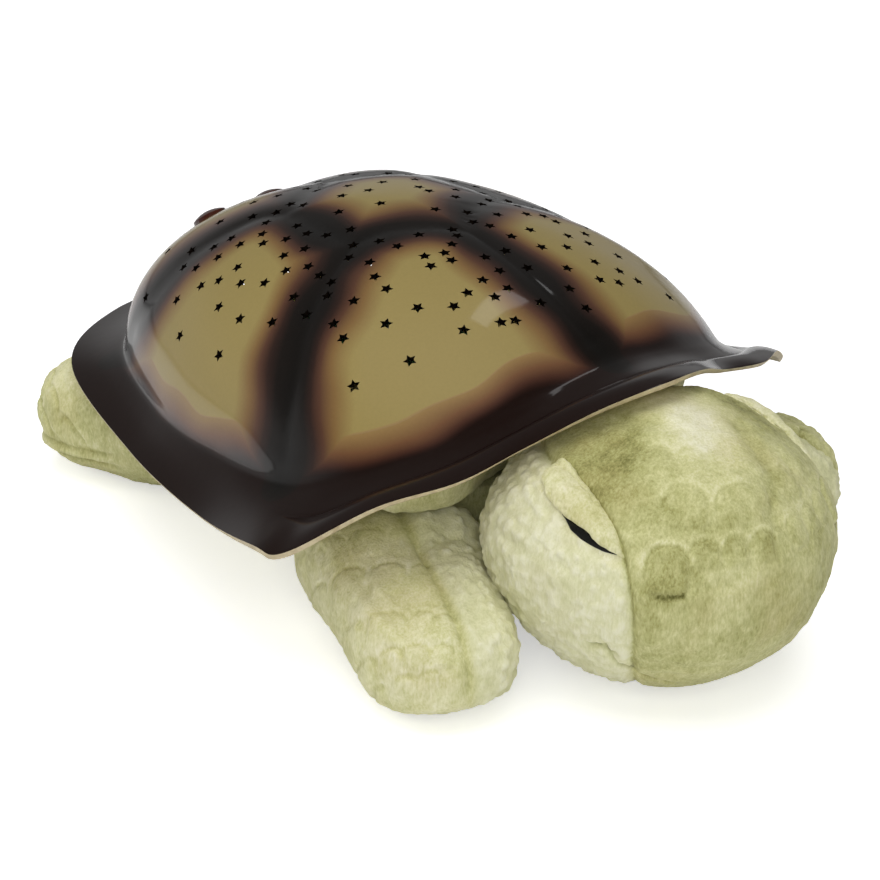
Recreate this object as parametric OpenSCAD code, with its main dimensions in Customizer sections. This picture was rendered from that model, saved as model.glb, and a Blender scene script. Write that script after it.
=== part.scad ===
// Turtle star night light: a hard perforated shell over a plush turtle body.
// Millimetres, Z up. The head points towards -Y and the turtle's left side is +X.
// The origin lies on the floor, at the middle of the flat belly panel.

/* [Shell rim] */
// Half width of the rim at its front corners
rim_half_w = 128; // [118:1:138]
// Reach of the rim over the head, in front of the origin
rim_front = 131; // [125:1:137]
// Reach of the rim behind the origin
rim_rear = 157; // [148:1:168]
// Height of the rim over the head
arch_h = 110; // [108:1:116]
// Height of the rim at its front corners
corner_h = 62; // [60:1:70]
// Height of the rim at the waist
waist_h = 51; // [50:1:56]
// Height of the rim at the tail
tail_h = 59; // [54:1:64]

/* [Shell dome] */
// Height of the crown above the floor
crown_h = 138; // [134:1:150]
// Place of the crown along the body
crown_y = 11.5; // [5:0.5:18]
// Half width of the dome at its foot
foot_half_w = 101; // [96:1:108]
// Reach of the dome's foot in front of the origin
foot_front = 101; // [98:1:106]
// Reach of the dome's foot behind the origin
foot_rear = 131; // [126:1:138]
// Height of the dome's foot over the head
foot_arch_h = 107; // [104:1:109]
// Height of the dome's foot at the waist
foot_waist_h = 64; // [62:1:68]
// Height of the dome's foot at the tail
foot_tail_h = 67; // [64:1:71]
// Wall thickness of the shell
wall = 2.5; // [2:0.1:3]
// Number of star holes
star_count = 125; // [60:1:132]
// Radius of a star hole at its points
star_r = 2.6; // [1.8:0.1:3]

/* [Buttons] */
// Place of the button row along the body
button_y = 104; // [98:1:108]
// Spacing of the buttons
button_pitch = 30; // [26:1:32]
// Radius of a button cap
cap_r = 7.2; // [6:0.1:7.6]
// How far a cap stands out of the shell
cap_proud = 3; // [2:0.1:4]
// Travel of a button
button_travel = 1.2; // [0.8:0.1:1.4]

/* [Light unit] */
// Height of the base plate's underside
plate_z = 50; // [48:1:52]
// Thickness of the base plate
plate_t = 2.5; // [2:0.1:3.5]
// Half width of the base plate
plate_half_w = 78; // [74:1:82]
// Half length of the base plate
plate_half_l = 84; // [80:1:87]
// Diameter of one AAA cell
cell_d = 10.5; // [10.5:0.1:11]
// Length of one AAA cell
cell_l = 44.5; // [44.5:0.1:45]
// Room for the contacts at the two ends of the cells together
contact_room = 6; // [5:0.5:8]
// Thickness of the battery door
door_t = 2; // [1.6:0.1:2.4]
// Height of the main board's underside above the floor
board_z = 72; // [69:1:76]
// Diameter of one light
led_d = 5; // [3:0.5:5.5]

/* [Plush body] */
// Radius of the head, seen from above
head_r = 61; // [58:0.5:61.5]
// Height of the head
head_h = 101.8; // [98:0.2:102]
// Middle of the head, in front of the origin
head_y = -130.6; // [-134:0.2:-130]
// Half width of the body at its top
body_half_w = 86; // [82:1:92]
// Thickness of the belly panel
belly_t = 2.5; // [2:0.1:3]
// Thickness of the belly flap
flap_t = 2.2; // [1.8:0.1:2.4]
// Height of the front flippers at the shoulder
front_pad_h = 53; // [46:1:54]
// Length of the front flippers, from shoulder to tip
front_pad_l = 96; // [85:1:102]
// Height of the rear flippers
rear_pad_h = 53; // [44:1:54]
// Length of the rear flippers, from hip to tip
rear_pad_l = 60; // [54:1:72]

/* [Hidden] */
$fn = 48;
cut = 0.1;          // how far a cutter runs past the face that it opens
soft_gap = 0.3;     // room between soft parts, and between a soft part and a hard one
fit_gap = 0.3;      // room round a part that drops into a recess

// Shell: stations from the front middle to the rear middle, as shares of the named sizes.
// A rim station is [share of half width, share of reach, share of the drop to the next height].
rim_drop = [0, 0.12, 0.35, 0.48, 0.63, 0.96, 1];
rim_wide = [0, 0.2, 0.39, 0.59, 0.78, 0.975, 1, 0.93, 0.86, 0.71, 0.39, 0];
rim_long = [-1, -0.94, -0.855, -0.82, -0.71, -0.573, -0.466, -0.107, 0.293, 0.758, 0.962, 1];
foot_drop = [0, 0.07, 0.19, 0.37, 0.58, 0.72, 0.88, 0.95, 1];
foot_wide = [0, 0.24, 0.455, 0.673, 0.85, 0.94, 1, 1, 0.96, 0.78, 0.475, 0];
foot_long = [-1, -0.98, -0.95, -0.87, -0.743, -0.614, -0.416, -0.08, 0.305, 0.733, 0.947, 1];
foot_lean = [35, 34, 32, 28, 22, 14, 8, 2, 0, 0, 0, 0];
flange = [[0.18, -1.2], [0.42, -1.5], [0.52, 0.5], [0.76, 1.8], [0.93, 1.6], [1, 0.4]];
dome_steps = 9;
station_steps = 2;
tail_rise = [0, 0.75, 1, 1];

function mix(a, b, share) = a + (b - a) * share;
function reach(share, front, rear) = share < 0 ? share * front : share * rear;
function rim_height(i) =
    i < 7 ? mix(arch_h, corner_h, rim_drop[i]) :
    i == 7 ? waist_h : mix(waist_h, tail_h, tail_rise[i - 8]);
function foot_height(i) =
    i < 9 ? mix(foot_arch_h, foot_waist_h, foot_drop[i]) : mix(foot_waist_h, foot_tail_h, tail_rise[i - 8]);
rim_half = [for (i = [0 : 11])
    [rim_wide[i] * rim_half_w, reach(rim_long[i], rim_front, rim_rear), rim_height(i), 0]];
foot_half = [for (i = [0 : 11])
    [foot_wide[i] * foot_half_w, reach(foot_long[i], foot_front, foot_rear), foot_height(i), foot_lean[i]]];
function whole(half) =
    concat(half, [for (i = [len(half) - 2 : -1 : 1]) [-half[i].x, half[i].y, half[i].z, half[i][3]]]);
rim_loop = whole(rim_half);
foot_loop = whole(foot_half);
stations = len(rim_loop);

// A closed smooth curve through the stations, at the place u counted in stations
function bend(a, b, c, d, t) =
    0.5 * (2 * b + (c - a) * t + (2 * a - 5 * b + 4 * c - d) * t * t + (3 * b - a - 3 * c + d) * t * t * t);
function along(loop, u) =
    let (n = len(loop), k = floor(u), t = u - k)
    bend(loop[(k + n - 1) % n], loop[k % n], loop[(k + 1) % n], loop[(k + 2) % n], t);
function flat(p) = [p.x, p.y, p.z];

// A point of the dome's outside: u goes round the foot, rise goes from 0 at the foot to 1 at the crown
function dome_point(u, rise) =
    let (foot = along(foot_loop, u), lean = foot[3], f = lean + (90 - lean) * rise,
         spread = cos(f) / cos(lean), height = (crown_h - foot.z) / (1 - sin(lean)))
    [foot.x * spread, crown_y + (foot.y - crown_y) * spread, crown_h - height * (1 - sin(f))];
// A point of the flange between the dome's foot and the rim's edge
function flange_point(u, share, lift) =
    flat(along(foot_loop, u)) * (1 - share) + flat(along(rim_loop, u)) * share + [0, 0, lift];
columns = stations * station_steps;
outside = concat(
    [for (k = [dome_steps - 1 : -1 : 0]) [for (j = [0 : columns - 1]) dome_point(j / station_steps, k / dome_steps)]],
    [for (f = flange) [for (j = [0 : columns - 1]) flange_point(j / station_steps, f[0], f[1])]]
);
function unit(v) = v / norm(v);
function out_normal(rows, k, j) =
    let (n = len(rows[0]), down = rows[min(k + 1, len(rows) - 1)][j] - rows[max(k - 1, 0)][j],
         round = rows[k][(j + 1) % n] - rows[k][(j + n - 1) % n])
    unit(cross(down, round));
function sunk(rows, depth) =
    [for (k = [0 : len(rows) - 1]) [for (j = [0 : len(rows[0]) - 1])
        rows[k][j] - depth * out_normal(rows, k, j)]];

// Buttons: a row on the rear slope of the dome, all pressed along one direction
rear_reach = foot_rear - crown_y;
rear_rise = crown_h - foot_tail_h;
row_turn = acos((button_y - crown_y) / rear_reach);
row_z = foot_tail_h + rear_rise * sin(row_turn);
slope_y = (button_y - crown_y) / pow(rear_reach, 2);
slope_z = (row_z - foot_tail_h) / pow(rear_rise, 2);
row_tilt = atan2(slope_y, slope_z);
// The rear of the dome is squarer than an ellipse, so the row bends as on one this many times as wide
row_spread = 1.54;
row_round = pow(row_spread * foot_half_w, 2) * norm([slope_y, slope_z]);
cap_gap = 0.4;
collar_r = cap_r + 1.8;
collar_t = 1.2;
collar_drop = 5.6;
stem_r = 2.4;
plunger_r = 1.7;
plunger_gap = 0.1;
plunger_in = 1.7;
switch_w = 6;
switch_h = 3.5;
pcb_t = 1.6;
stem_min = 0.15;
button_board_drop =
    collar_drop + collar_t + row_round - sqrt(pow(row_round, 2) - pow(button_pitch, 2)) + stem_min
    + button_travel + 0.3 + switch_h;
plunger_top = switch_h + button_travel + 0.3 - button_board_drop;
button_board_half_w = button_pitch + 18;
button_board_half_l = 8;
button_post_x = button_pitch + 13.5;
lens_r = 14;

// Screws
screw_r = 1.5;
screw_head_r = 3;
screw_head_t = 2;
small_screw_r = 1.1;
small_head_r = 2.2;
bore_gap = 0.25;
pillar_r = 5.5;
pillar_x = 58;
pillar_y = [-16, 72];
pillar_top = 80;
web_t = 6;
boss_r = 4.5;
thread_depth = 10;

// Base plate and battery bay
plate_y = 28;
bay_y = 34;
bay_wall = 4;
bay_roof = 1.8;
cell_pitch = cell_d + 0.5;
bay_w = 2 * cell_pitch + cell_d + 1;
bay_l = cell_l + contact_room;
ledge = 2;
door_w = bay_w + 2 * ledge;
door_l = bay_l + 2 * ledge;
door_front = bay_y - door_l / 2;
door_rear = bay_y + door_l / 2;
door_pin_r = 1;
door_pin_gap = 0.08;
door_pin_l = 1.6;
door_pin_z = plate_z + door_t / 2;
door_screw_y = door_rear + 4;
tongue_r = 6;
bay_floor = plate_z + door_t + 0.1;
bay_top = bay_floor + cell_d + 0.7;
cell_z = bay_floor + cell_d / 2 + 0.2;
contact_t = 0.4;
contact_half = 4.5;
wire_r = 0.8;
lead_x = cell_pitch;
board_half_w = 30;
board_half_l = 34;
board_y = 32;
board_post_x = 25;
board_post_y = 29;
board_post_r = 3;
board_top = board_z + pcb_t;
board_screw_grip = 5;
chip = [7, 7, 1.6];
chip_place = [-19, -6];
led_pitch = 9;
header = [12, 6, 5];
header_y = board_y + board_half_l - header.y / 2 - 1;
ribbon_t = 0.8;
ribbon_w = 8;

// Plush
head_half_h = head_h / 2;
body_rings = [
    [belly_t + soft_gap, 0.6, -36, 102], [8, 0.71, -45, 110], [20, 0.84, -56, 118],
    [34, 0.95, -62, 122], [plate_z - soft_gap, 1, -64, 120]
];
pocket_half_w = 36;
pocket_y = [-4, 84];
mouth_half_w = 30;
mouth_y = [6, 81];
ledge_y = 65;
ledge_z = 8;
strip_half_w = 26;
strip_y = [67, 79];
strip_t = 1;
loop_top = 5;
flap_z = 0.15;
flap_room = 0.8;
flap_hinge_r = flap_t / 2;
flap_hinge_y = mouth_y[0] + flap_room + flap_hinge_r;
collar_room = 10;
front_hip = [65, -35];
rear_hip = [58, 100];
front_turn = [35, 11.5];
rear_turn = 22;
front_pad_w = [25, 30];
rear_pad_w = [24, 26.5];
front_tip_low = 0.84;
rear_tip_low = 0.95;
hip_gap = 1;
eye_lift = 27;
eye_turn = 75;
eye_span = 11;
lid_lift = 34;
lid_turn = 81;
lid_span = 15;

olive = "#b9b07c";
plush_green = "#b8b98a";
plush_pale = "#c8c9ab";
nickel = "#c6c6c0";

// ---- Helpers ----

function oval_points(half_w, half_l, n) = [for (i = [0 : n - 1]) [half_w * cos(360 * i / n), half_l * sin(360 * i / n)]];

module oval(half_w, half_l) {
    polygon(oval_points(half_w, half_l, 72));
}

// The rings of a stack, each run the other way round
function flipped(rows) = [for (r = rows) [for (i = [len(r) - 1 : -1 : 0]) r[i]]];

// A solid between two stacks of rings that share their last rings, each closed by one pole
module skin_between(rows_out, rows_in, pole_out, pole_in) {
    n = len(rows_out[0]);
    m = len(rows_out);
    points = concat([pole_out, pole_in], [for (r = rows_out) each r], [for (r = rows_in) each r]);
    first_in = 2 + n * m;
    faces = concat(
        [for (j = [0 : n - 1]) [0, 2 + j, 2 + (j + 1) % n]],
        [for (j = [0 : n - 1]) [1, first_in + (j + 1) % n, first_in + j]],
        [for (k = [0 : m - 2]) for (j = [0 : n - 1]) for (half = [0, 1])
            let (a = 2 + k * n + j, b = 2 + k * n + (j + 1) % n)
            half == 0 ? [a, a + n, b] : [b, a + n, b + n]],
        [for (k = [0 : m - 2]) for (j = [0 : n - 1]) for (half = [0, 1])
            let (a = first_in + k * n + j, b = first_in + k * n + (j + 1) % n)
            half == 0 ? [a, b, a + n] : [b, b + n, a + n]],
        [for (j = [0 : n - 1]) for (half = [0, 1])
            let (a = 2 + (m - 1) * n + j, b = 2 + (m - 1) * n + (j + 1) % n, step = n * m)
            half == 0 ? [a, a + step, b] : [b, a + step, b + step]]
    );
    polyhedron(points, faces);
}

// A solid through a stack of rings, closed by a point at each end
module ring_stack(rows, first, last) {
    n = len(rows[0]);
    m = len(rows);
    points = concat([first, last], [for (r = rows) each r]);
    faces = concat(
        [for (j = [0 : n - 1]) [0, 2 + j, 2 + (j + 1) % n]],
        [for (j = [0 : n - 1]) [1, 2 + (m - 1) * n + (j + 1) % n, 2 + (m - 1) * n + j]],
        [for (k = [0 : m - 2]) for (j = [0 : n - 1]) for (half = [0, 1])
            let (a = 2 + k * n + j, b = 2 + k * n + (j + 1) % n)
            half == 0 ? [a, a + n, b] : [b, a + n, b + n]]
    );
    polyhedron(points, faces);
}

// The head's outline turned about its own upright axis, grown by room
module head_form(room = 0) {
    steps = 18;
    outline = [for (i = [0 : steps]) let (f = -90 + 180 * i / steps)
        [max(0, (head_r + room) * cos(f)), (head_half_h + room) * sin(f)]];
    translate([0, head_y, head_half_h])
        rotate_extrude($fn = 96) polygon(outline);
}

module on_row() {
    translate([0, button_y, row_z]) rotate([-row_tilt, 0, 0]) children();
}

function cap_drop(x) = row_round - sqrt(pow(row_round, 2) - pow(x, 2));
function cap_tilt(x) = asin(x / row_round);

// ---- Shell ----

module star() {
    polygon([for (i = [0 : 9]) let (r = i % 2 == 0 ? star_r : star_r * 0.47, a = 36 * i) [r * cos(a), r * sin(a)]]);
}

function frac(x) = x - floor(x);
function noise(i) = frac(abs(sin(i * 78.233) * 437.5853));
// Star holes turn round the dome by the golden ratio, even as seen from above
function from_crown(k) = [foot_loop[k % stations].x, foot_loop[k % stations].y - crown_y];
function sector(k) = abs(cross(from_crown(k), from_crown(k + 1)));
sectors = [for (k = 0, sum = 0; k <= stations; sum = sum + sector(k), k = k + 1) sum];
function star_u(i) =
    let (turned = sectors[stations] * frac(i * 0.618034 + 0.02 * noise(i)),
         k = max([for (j = [0 : stations - 1]) sectors[j] <= turned ? j : 0]))
    k + (turned - sectors[k]) / (sectors[k + 1] - sectors[k]);
function star_rise(i) =
    let (lean = along(foot_loop, star_u(i))[3], spread = 0.965 * pow((i + 0.6) / star_count, 0.54))
    (acos(spread * cos(lean)) - lean) / (90 - lean);
function clear_of_buttons(p) =
    min([for (i = [-1 : 1]) norm(p - [i * button_pitch, button_y, row_z - cap_drop(i * button_pitch)])]) > collar_r + 4;

module star_punch(u, rise, spin) {
    step = 0.01;
    here = dome_point(u, rise);
    side = unit(dome_point(u + step, rise) - here);
    out = unit(cross(here - dome_point(u, rise + step), side));
    up = cross(out, side);
    multmatrix([
        [side.x, up.x, out.x, here.x], [side.y, up.y, out.y, here.y], [side.z, up.z, out.z, here.z]
    ]) rotate([0, 0, spin]) linear_extrude(4 * wall, center = true) star();
}

module shell_boss(x, y) {
    rib_t = 1.6;
    rib_h = 12;
    rib_reach = 9;
    translate([x, y, pillar_top]) {
        cylinder(r = boss_r, h = crown_h - pillar_top, $fn = 14);
        for (turn = [0, 180])
            rotate([0, 0, turn + atan2(y - crown_y, x)])
                hull() {
                    translate([0, -rib_t / 2, 4]) cube([boss_r, rib_t, 1]);
                    translate([0, -rib_t / 2, crown_h - pillar_top - rib_h]) cube([boss_r + rib_reach, rib_t, rib_h]);
                }
    }
}

module carapace() {
    crown = [0, crown_y, crown_h];
    middle = sunk(outside, wall / 2);
    color(olive)
        difference() {
            union() {
                skin_between(flipped(outside), flipped(sunk(outside, wall)), crown, crown - [0, 0, wall]);
                intersection() {
                    union() {
                        for (x = [-pillar_x, pillar_x])
                            for (y = pillar_y)
                                shell_boss(x, y);
                        on_row()
                            for (x = [-button_post_x, button_post_x])
                                translate([x, 0, -button_board_drop])
                                    cylinder(r = board_post_r, h = button_board_drop, $fn = 13);
                    }
                    ring_stack(flipped([for (k = [0 : dome_steps - 1]) middle[k]]), crown - [0, 0, wall / 2],
                               [0, crown_y, foot_waist_h]);
                }
            }
            for (i = [0 : star_count - 1])
                if (clear_of_buttons(dome_point(star_u(i), star_rise(i))))
                    star_punch(star_u(i), star_rise(i), 47 * i);
            for (x = [-pillar_x, pillar_x])
                for (y = pillar_y)
                    translate([x, y, pillar_top - cut]) cylinder(r = screw_r + bore_gap, h = thread_depth + 2, $fn = 14);
            on_row() {
                for (x = [-1 : 1])
                    translate([x * button_pitch, 0, -3 * wall - cap_drop(x * button_pitch)])
                        cylinder(r = cap_r + cap_gap, h = 6 * wall, $fn = 32);
                for (x = [-button_post_x, button_post_x])
                    translate([x, 0, -button_board_drop - cut]) cylinder(r = small_screw_r + bore_gap, h = 7, $fn = 13);
            }
        }
}

module shell_screws() {
    color(nickel)
        for (x = [-pillar_x, pillar_x])
            for (y = pillar_y)
                translate([x, y, pillar_top - web_t - screw_head_t]) {
                    difference() {
                        cylinder(r = screw_head_r, h = screw_head_t);
                        translate([0, 0, -cut]) cylinder(r = 1.4, h = 1 + cut, $fn = 6);
                    }
                    cylinder(r = screw_r, h = screw_head_t + web_t + thread_depth);
                }
}

// ---- Buttons ----

module button_cap(x) {
    color(olive)
        on_row()
            translate([x, 0, 0]) {
                intersection() {
                    translate([0, 0, -collar_drop]) cylinder(r = cap_r, h = collar_drop + 2 * cap_proud);
                    translate([0, 0, -cap_drop(x)]) rotate([0, cap_tilt(x), 0])
                        translate([0, 0, cap_proud - lens_r]) sphere(r = lens_r);
                }
                translate([0, 0, -collar_drop - collar_t - cap_drop(x)])
                    cylinder(r = collar_r, h = collar_t);
                translate([0, 0, -collar_drop - cap_drop(x) - cut]) cylinder(r = cap_r, h = cap_drop(x) + 2 * cut);
                translate([0, 0, plunger_top])
                    cylinder(r = stem_r, h = -plunger_top - collar_drop - cap_drop(x) - collar_t / 2);
            }
}

module plunger(x) {
    color("#3a3a3a")
        on_row()
            translate([x, 0, plunger_top - button_travel - 0.3 - plunger_in])
                cylinder(r = plunger_r, h = button_travel + 0.3 + plunger_in);
}

module tact_switches() {
    color("#2c2c2e")
        on_row()
            for (i = [-1 : 1])
                translate([i * button_pitch, 0, -button_board_drop])
                    difference() {
                        translate([-switch_w / 2, -switch_w / 2, 0]) cube([switch_w, switch_w, switch_h]);
                        translate([0, 0, switch_h - plunger_in - button_travel - 0.3])
                            cylinder(r = plunger_r + plunger_gap, h = plunger_in + button_travel + 1);
                    }
}

module button_board() {
    color("#2f6b45")
        on_row()
            translate([0, 0, -button_board_drop - pcb_t])
                difference() {
                    translate([-button_board_half_w, -button_board_half_l, 0])
                        cube([2 * button_board_half_w, 2 * button_board_half_l, pcb_t]);
                    for (x = [-button_post_x, button_post_x])
                        translate([x, 0, -cut]) cylinder(r = small_screw_r + bore_gap, h = pcb_t + 2 * cut);
                }
}

module button_board_screws() {
    color(nickel)
        on_row()
            for (x = [-button_post_x, button_post_x])
                translate([x, 0, -button_board_drop - pcb_t]) small_screw(6);
}

// A small pan-head screw that points up, with the underside of its head at zero
module small_screw(reach) {
    translate([0, 0, -1.4])
        difference() {
            cylinder(r = small_head_r, h = 1.4);
            translate([0, 0, -cut]) cylinder(r = 0.9, h = 0.8, $fn = 6);
        }
    cylinder(r = small_screw_r, h = reach);
}

// A flat cable as wide as ribbon_w, through points of the plane x = 0
module ribbon(path) {
    n = len(path);
    ways = [for (i = [0 : n - 1]) unit(path[min(i + 1, n - 1)] - path[max(i - 1, 0)])];
    edge = [for (i = [0 : n - 1]) [-ways[i].y, ways[i].x] * ribbon_t / 2];
    rotate([90, 0, 90])
        linear_extrude(ribbon_w, center = true)
            polygon(concat([for (i = [0 : n - 1]) path[i] + edge[i]], [for (i = [n - 1 : -1 : 0]) path[i] - edge[i]]));
}

module button_ribbon() {
    board_low = button_board_drop + pcb_t;
    top = [button_y - board_low * sin(row_tilt), row_z - board_low * cos(row_tilt)];
    way = [sin(row_tilt), cos(row_tilt)];
    foot = [header_y, board_top + header.z];
    color("#b7b9bb")
        ribbon([foot, foot + [0, 2], foot + [2, 5], foot + [8, 8], top - way * 11 - [9, 0], top - way * 7 - [3, 0],
                top - way * 3, top]);
}

// ---- Light unit ----

module screw_pillars() {
    for (x = [-pillar_x, pillar_x])
        for (y = pillar_y)
            translate([x, y, plate_z]) cylinder(r = pillar_r, h = pillar_top - plate_z);
}

module base_plate() {
    upstand_h = 8;
    boss_h = 9;
    color("#d8d3bf")
        difference() {
            union() {
                translate([0, plate_y, plate_z]) linear_extrude(plate_t) oval(plate_half_w, plate_half_l);
                translate([0, plate_y, plate_z])
                    linear_extrude(upstand_h)
                        difference() {
                            oval(plate_half_w, plate_half_l);
                            oval(plate_half_w - 2, plate_half_l - 2);
                        }
                translate([-bay_w / 2 - bay_wall, bay_y - bay_l / 2 - bay_wall, plate_z])
                    cube([bay_w + 2 * bay_wall, bay_l + 2 * bay_wall, bay_top + bay_roof - plate_z]);
                translate([0, door_screw_y, plate_z]) cylinder(r = tongue_r + 1.5, h = boss_h);
                screw_pillars();
                for (x = [-board_post_x, board_post_x])
                    for (y = [-board_post_y, board_post_y])
                        translate([x, board_y + y, plate_z]) cylinder(r = board_post_r, h = board_z - plate_z);
            }
            // bay for the cells, and the recess that the door drops into
            translate([-bay_w / 2, bay_y - bay_l / 2, plate_z - cut]) cube([bay_w, bay_l, bay_top - plate_z + cut]);
            translate([-door_w / 2 - fit_gap, door_front - door_pin_r - fit_gap, plate_z - cut])
                cube([door_w + 2 * fit_gap, door_l + door_pin_r + 2 * fit_gap, door_t + 0.1 + cut]);
            translate([0, door_screw_y, plate_z - cut])
                cylinder(r = tongue_r + fit_gap, h = door_t + 0.1 + cut);
            translate([0, door_front, door_pin_z]) rotate([0, 90, 0])
                cylinder(r = door_pin_r + door_pin_gap, h = door_w + 2 * door_pin_l + 1, center = true);
            translate([0, door_screw_y, plate_z]) cylinder(r = small_screw_r + 0.4, h = boss_h - 1);
            // screw ways
            for (x = [-pillar_x, pillar_x])
                for (y = pillar_y)
                    translate([x, y, plate_z - cut]) {
                        cylinder(r = screw_head_r + 0.5, h = pillar_top - web_t - plate_z + cut);
                        cylinder(r = screw_r + bore_gap, h = pillar_top - plate_z + 2 * cut);
                    }
            for (x = [-board_post_x, board_post_x])
                for (y = [-board_post_y, board_post_y])
                    translate([x, board_y + y, board_z - 6]) cylinder(r = small_screw_r + bore_gap, h = 6 + cut);
            // holes for the battery leads
            for (side = [-1, 1])
                translate([side * lead_x, bay_y + side * (bay_l / 2 - contact_t / 2), bay_top - cut])
                    cylinder(r = wire_r + 0.2, h = bay_roof + 2 * cut);
        }
}

module battery_door() {
    color("#d8d3bf")
        difference() {
            union() {
                translate([-door_w / 2, door_front, plate_z]) cube([door_w, door_l, door_t]);
                translate([0, door_screw_y, plate_z]) cylinder(r = tongue_r, h = door_t);
                translate([0, door_front, door_pin_z]) rotate([0, 90, 0])
                    cylinder(r = door_pin_r, h = door_w + 2 * door_pin_l, center = true);
            }
            translate([0, door_screw_y, plate_z - cut])
                cylinder(r = small_screw_r + bore_gap, h = door_t + 2 * cut);
            translate([0, door_screw_y, plate_z - cut])
                cylinder(r = small_head_r + bore_gap, h = 1 + cut);
        }
}

module door_screw() {
    head_t = 1;
    color(nickel)
        translate([0, door_screw_y, plate_z]) {
            difference() {
                cylinder(r = small_head_r, h = head_t);
                translate([-0.4, -small_head_r, -cut]) cube([0.8, 2 * small_head_r, 0.5 + cut]);
            }
            cylinder(r = small_screw_r, h = 5);
        }
}

module battery(i) {
    nub = 1;
    color("#3f8f4f")
        translate([(i - 2) * cell_pitch, bay_y - cell_l / 2 + contact_room / 4, cell_z])
            rotate([-90, 0, 0]) {
                cylinder(d = cell_d, h = cell_l - nub);
                cylinder(d = 3.8, h = cell_l);
            }
}

module contact_plates() {
    color(nickel)
        for (i = [-1 : 1])
            for (side = [-1, 1])
                translate([i * cell_pitch - contact_half, bay_y + side * (bay_l / 2 - contact_t / 2) - contact_t / 2,
                           cell_z - contact_half])
                    cube([2 * contact_half, contact_t, bay_top - cell_z + contact_half]);
    color(nickel)
        for (i = [-1 : 1])
            translate([i * cell_pitch, bay_y + bay_l / 2 - contact_t, cell_z])
                rotate([90, 0, 0]) cylinder(r = 1.6, h = contact_room / 4 - contact_t);
}

// A conical coil spring whose axis is Y, from a wide first turn to a narrow last one
module contact_spring() {
    turns = 2.5;
    steps = 14;
    sides = 6;
    thick = 0.35;
    spring_l = contact_room * 3 / 4 - contact_t - 2 * thick;
    count = turns * steps;
    rows = [for (k = [0 : count])
        let (a = 360 * k / steps, r = mix(3.6, 2, k / count), y = thick + spring_l * k / count)
        [for (s = [0 : sides - 1])
            let (t = 360 * s / sides)
            [(r + thick * cos(t)) * cos(a), y + thick * sin(t), (r + thick * cos(t)) * sin(a)]]];
    ring_stack(rows, (rows[0][0] + rows[0][3]) / 2, (rows[count][0] + rows[count][3]) / 2);
}

module contact_springs() {
    color(nickel)
        for (i = [-1 : 1])
            translate([i * cell_pitch, bay_y - bay_l / 2 + contact_t, cell_z]) contact_spring();
}

module battery_leads() {
    color("#a03a32")
        for (side = [-1, 1])
            translate([side * lead_x, bay_y + side * (bay_l / 2 - contact_t / 2), bay_top])
                cylinder(r = wire_r, h = board_z - bay_top);
}

module main_board() {
    color("#2f6b45") {
        translate([0, 0, board_z])
            difference() {
                translate([-board_half_w, board_y - board_half_l, 0]) cube([2 * board_half_w, 2 * board_half_l, pcb_t]);
                for (x = [-board_post_x, board_post_x])
                    for (y = [-board_post_y, board_post_y])
                        translate([x, board_y + y, -cut]) cylinder(r = small_screw_r + bore_gap, h = pcb_t + 2 * cut);
            }
        translate([-header.x / 2, header_y - header.y / 2, board_top]) cube(header);
        translate([chip_place.x, board_y + chip_place.y, board_top]) cube(chip);
    }
}

module board_screws() {
    color(nickel)
        for (x = [-board_post_x, board_post_x])
            for (y = [-board_post_y, board_post_y])
                translate([x, board_y + y, board_top]) rotate([180, 0, 0]) small_screw(pcb_t + board_screw_grip);
}

module led(place, shade) {
    rim = 0.4;
    body_h = 4.5;
    color(shade)
        translate([place * led_pitch, board_y, board_top]) {
            cylinder(r = led_d / 2 + rim, h = 1);
            cylinder(r = led_d / 2, h = body_h);
            translate([0, 0, body_h]) sphere(r = led_d / 2);
        }
}

// ---- Plush body ----

module plush_body() {
    count = 40;
    rings = [for (b = body_rings) [for (p = oval_points(b[1] * body_half_w, (b[3] - b[2]) / 2, count))
        [p.x, p.y + (b[3] + b[2]) / 2, b[0]]]];
    rows = [for (k = [len(rings) - 1 : -1 : 0]) rings[k]];
    color(plush_green)
        difference() {
            ring_stack(flipped(rows), [0, plate_y, plate_z - soft_gap], [0, plate_y, belly_t + soft_gap]);
            translate([-pocket_half_w, pocket_y[0], ledge_z])
                cube([2 * pocket_half_w, pocket_y[1] - pocket_y[0], plate_z]);
            translate([-mouth_half_w, mouth_y[0], -cut])
                cube([2 * mouth_half_w, ledge_y - mouth_y[0], plate_z]);
            translate([-strip_half_w - 1, strip_y[0] - 1, -cut])
                cube([2 * strip_half_w + 2, strip_y[1] - strip_y[0] + 2, loop_top + cut]);
            head_form(soft_gap + 0.7);
            for (side = [-1, 1]) {
                translate([side * front_hip.x, front_hip.y, -cut])
                    cylinder(r = front_pad_w[0] + hip_gap, h = plate_z);
                translate([side * rear_hip.x, rear_hip.y, -cut])
                    cylinder(r = rear_pad_w[0] + hip_gap, h = plate_z);
            }
        }
}

// The stuffed fold that closes the shell's arch behind the head
module neck_collar() {
    half_w = 34;
    front = -98;
    rear = -58;
    color(plush_green)
        difference() {
            intersection() {
                head_form(collar_room);
                translate([-half_w, front, plate_z]) cube([2 * half_w, rear - front, crown_h]);
            }
            head_form(soft_gap + 0.4);
        }
}

module belly_panel() {
    low = body_rings[0];
    color(plush_pale)
        linear_extrude(belly_t)
            difference() {
                translate([0, (low[3] + low[2]) / 2])
                    oval(low[1] * body_half_w, (low[3] - low[2]) / 2);
                translate([-mouth_half_w, mouth_y[0]]) square([2 * mouth_half_w, mouth_y[1] - mouth_y[0]]);
            }
}

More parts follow.
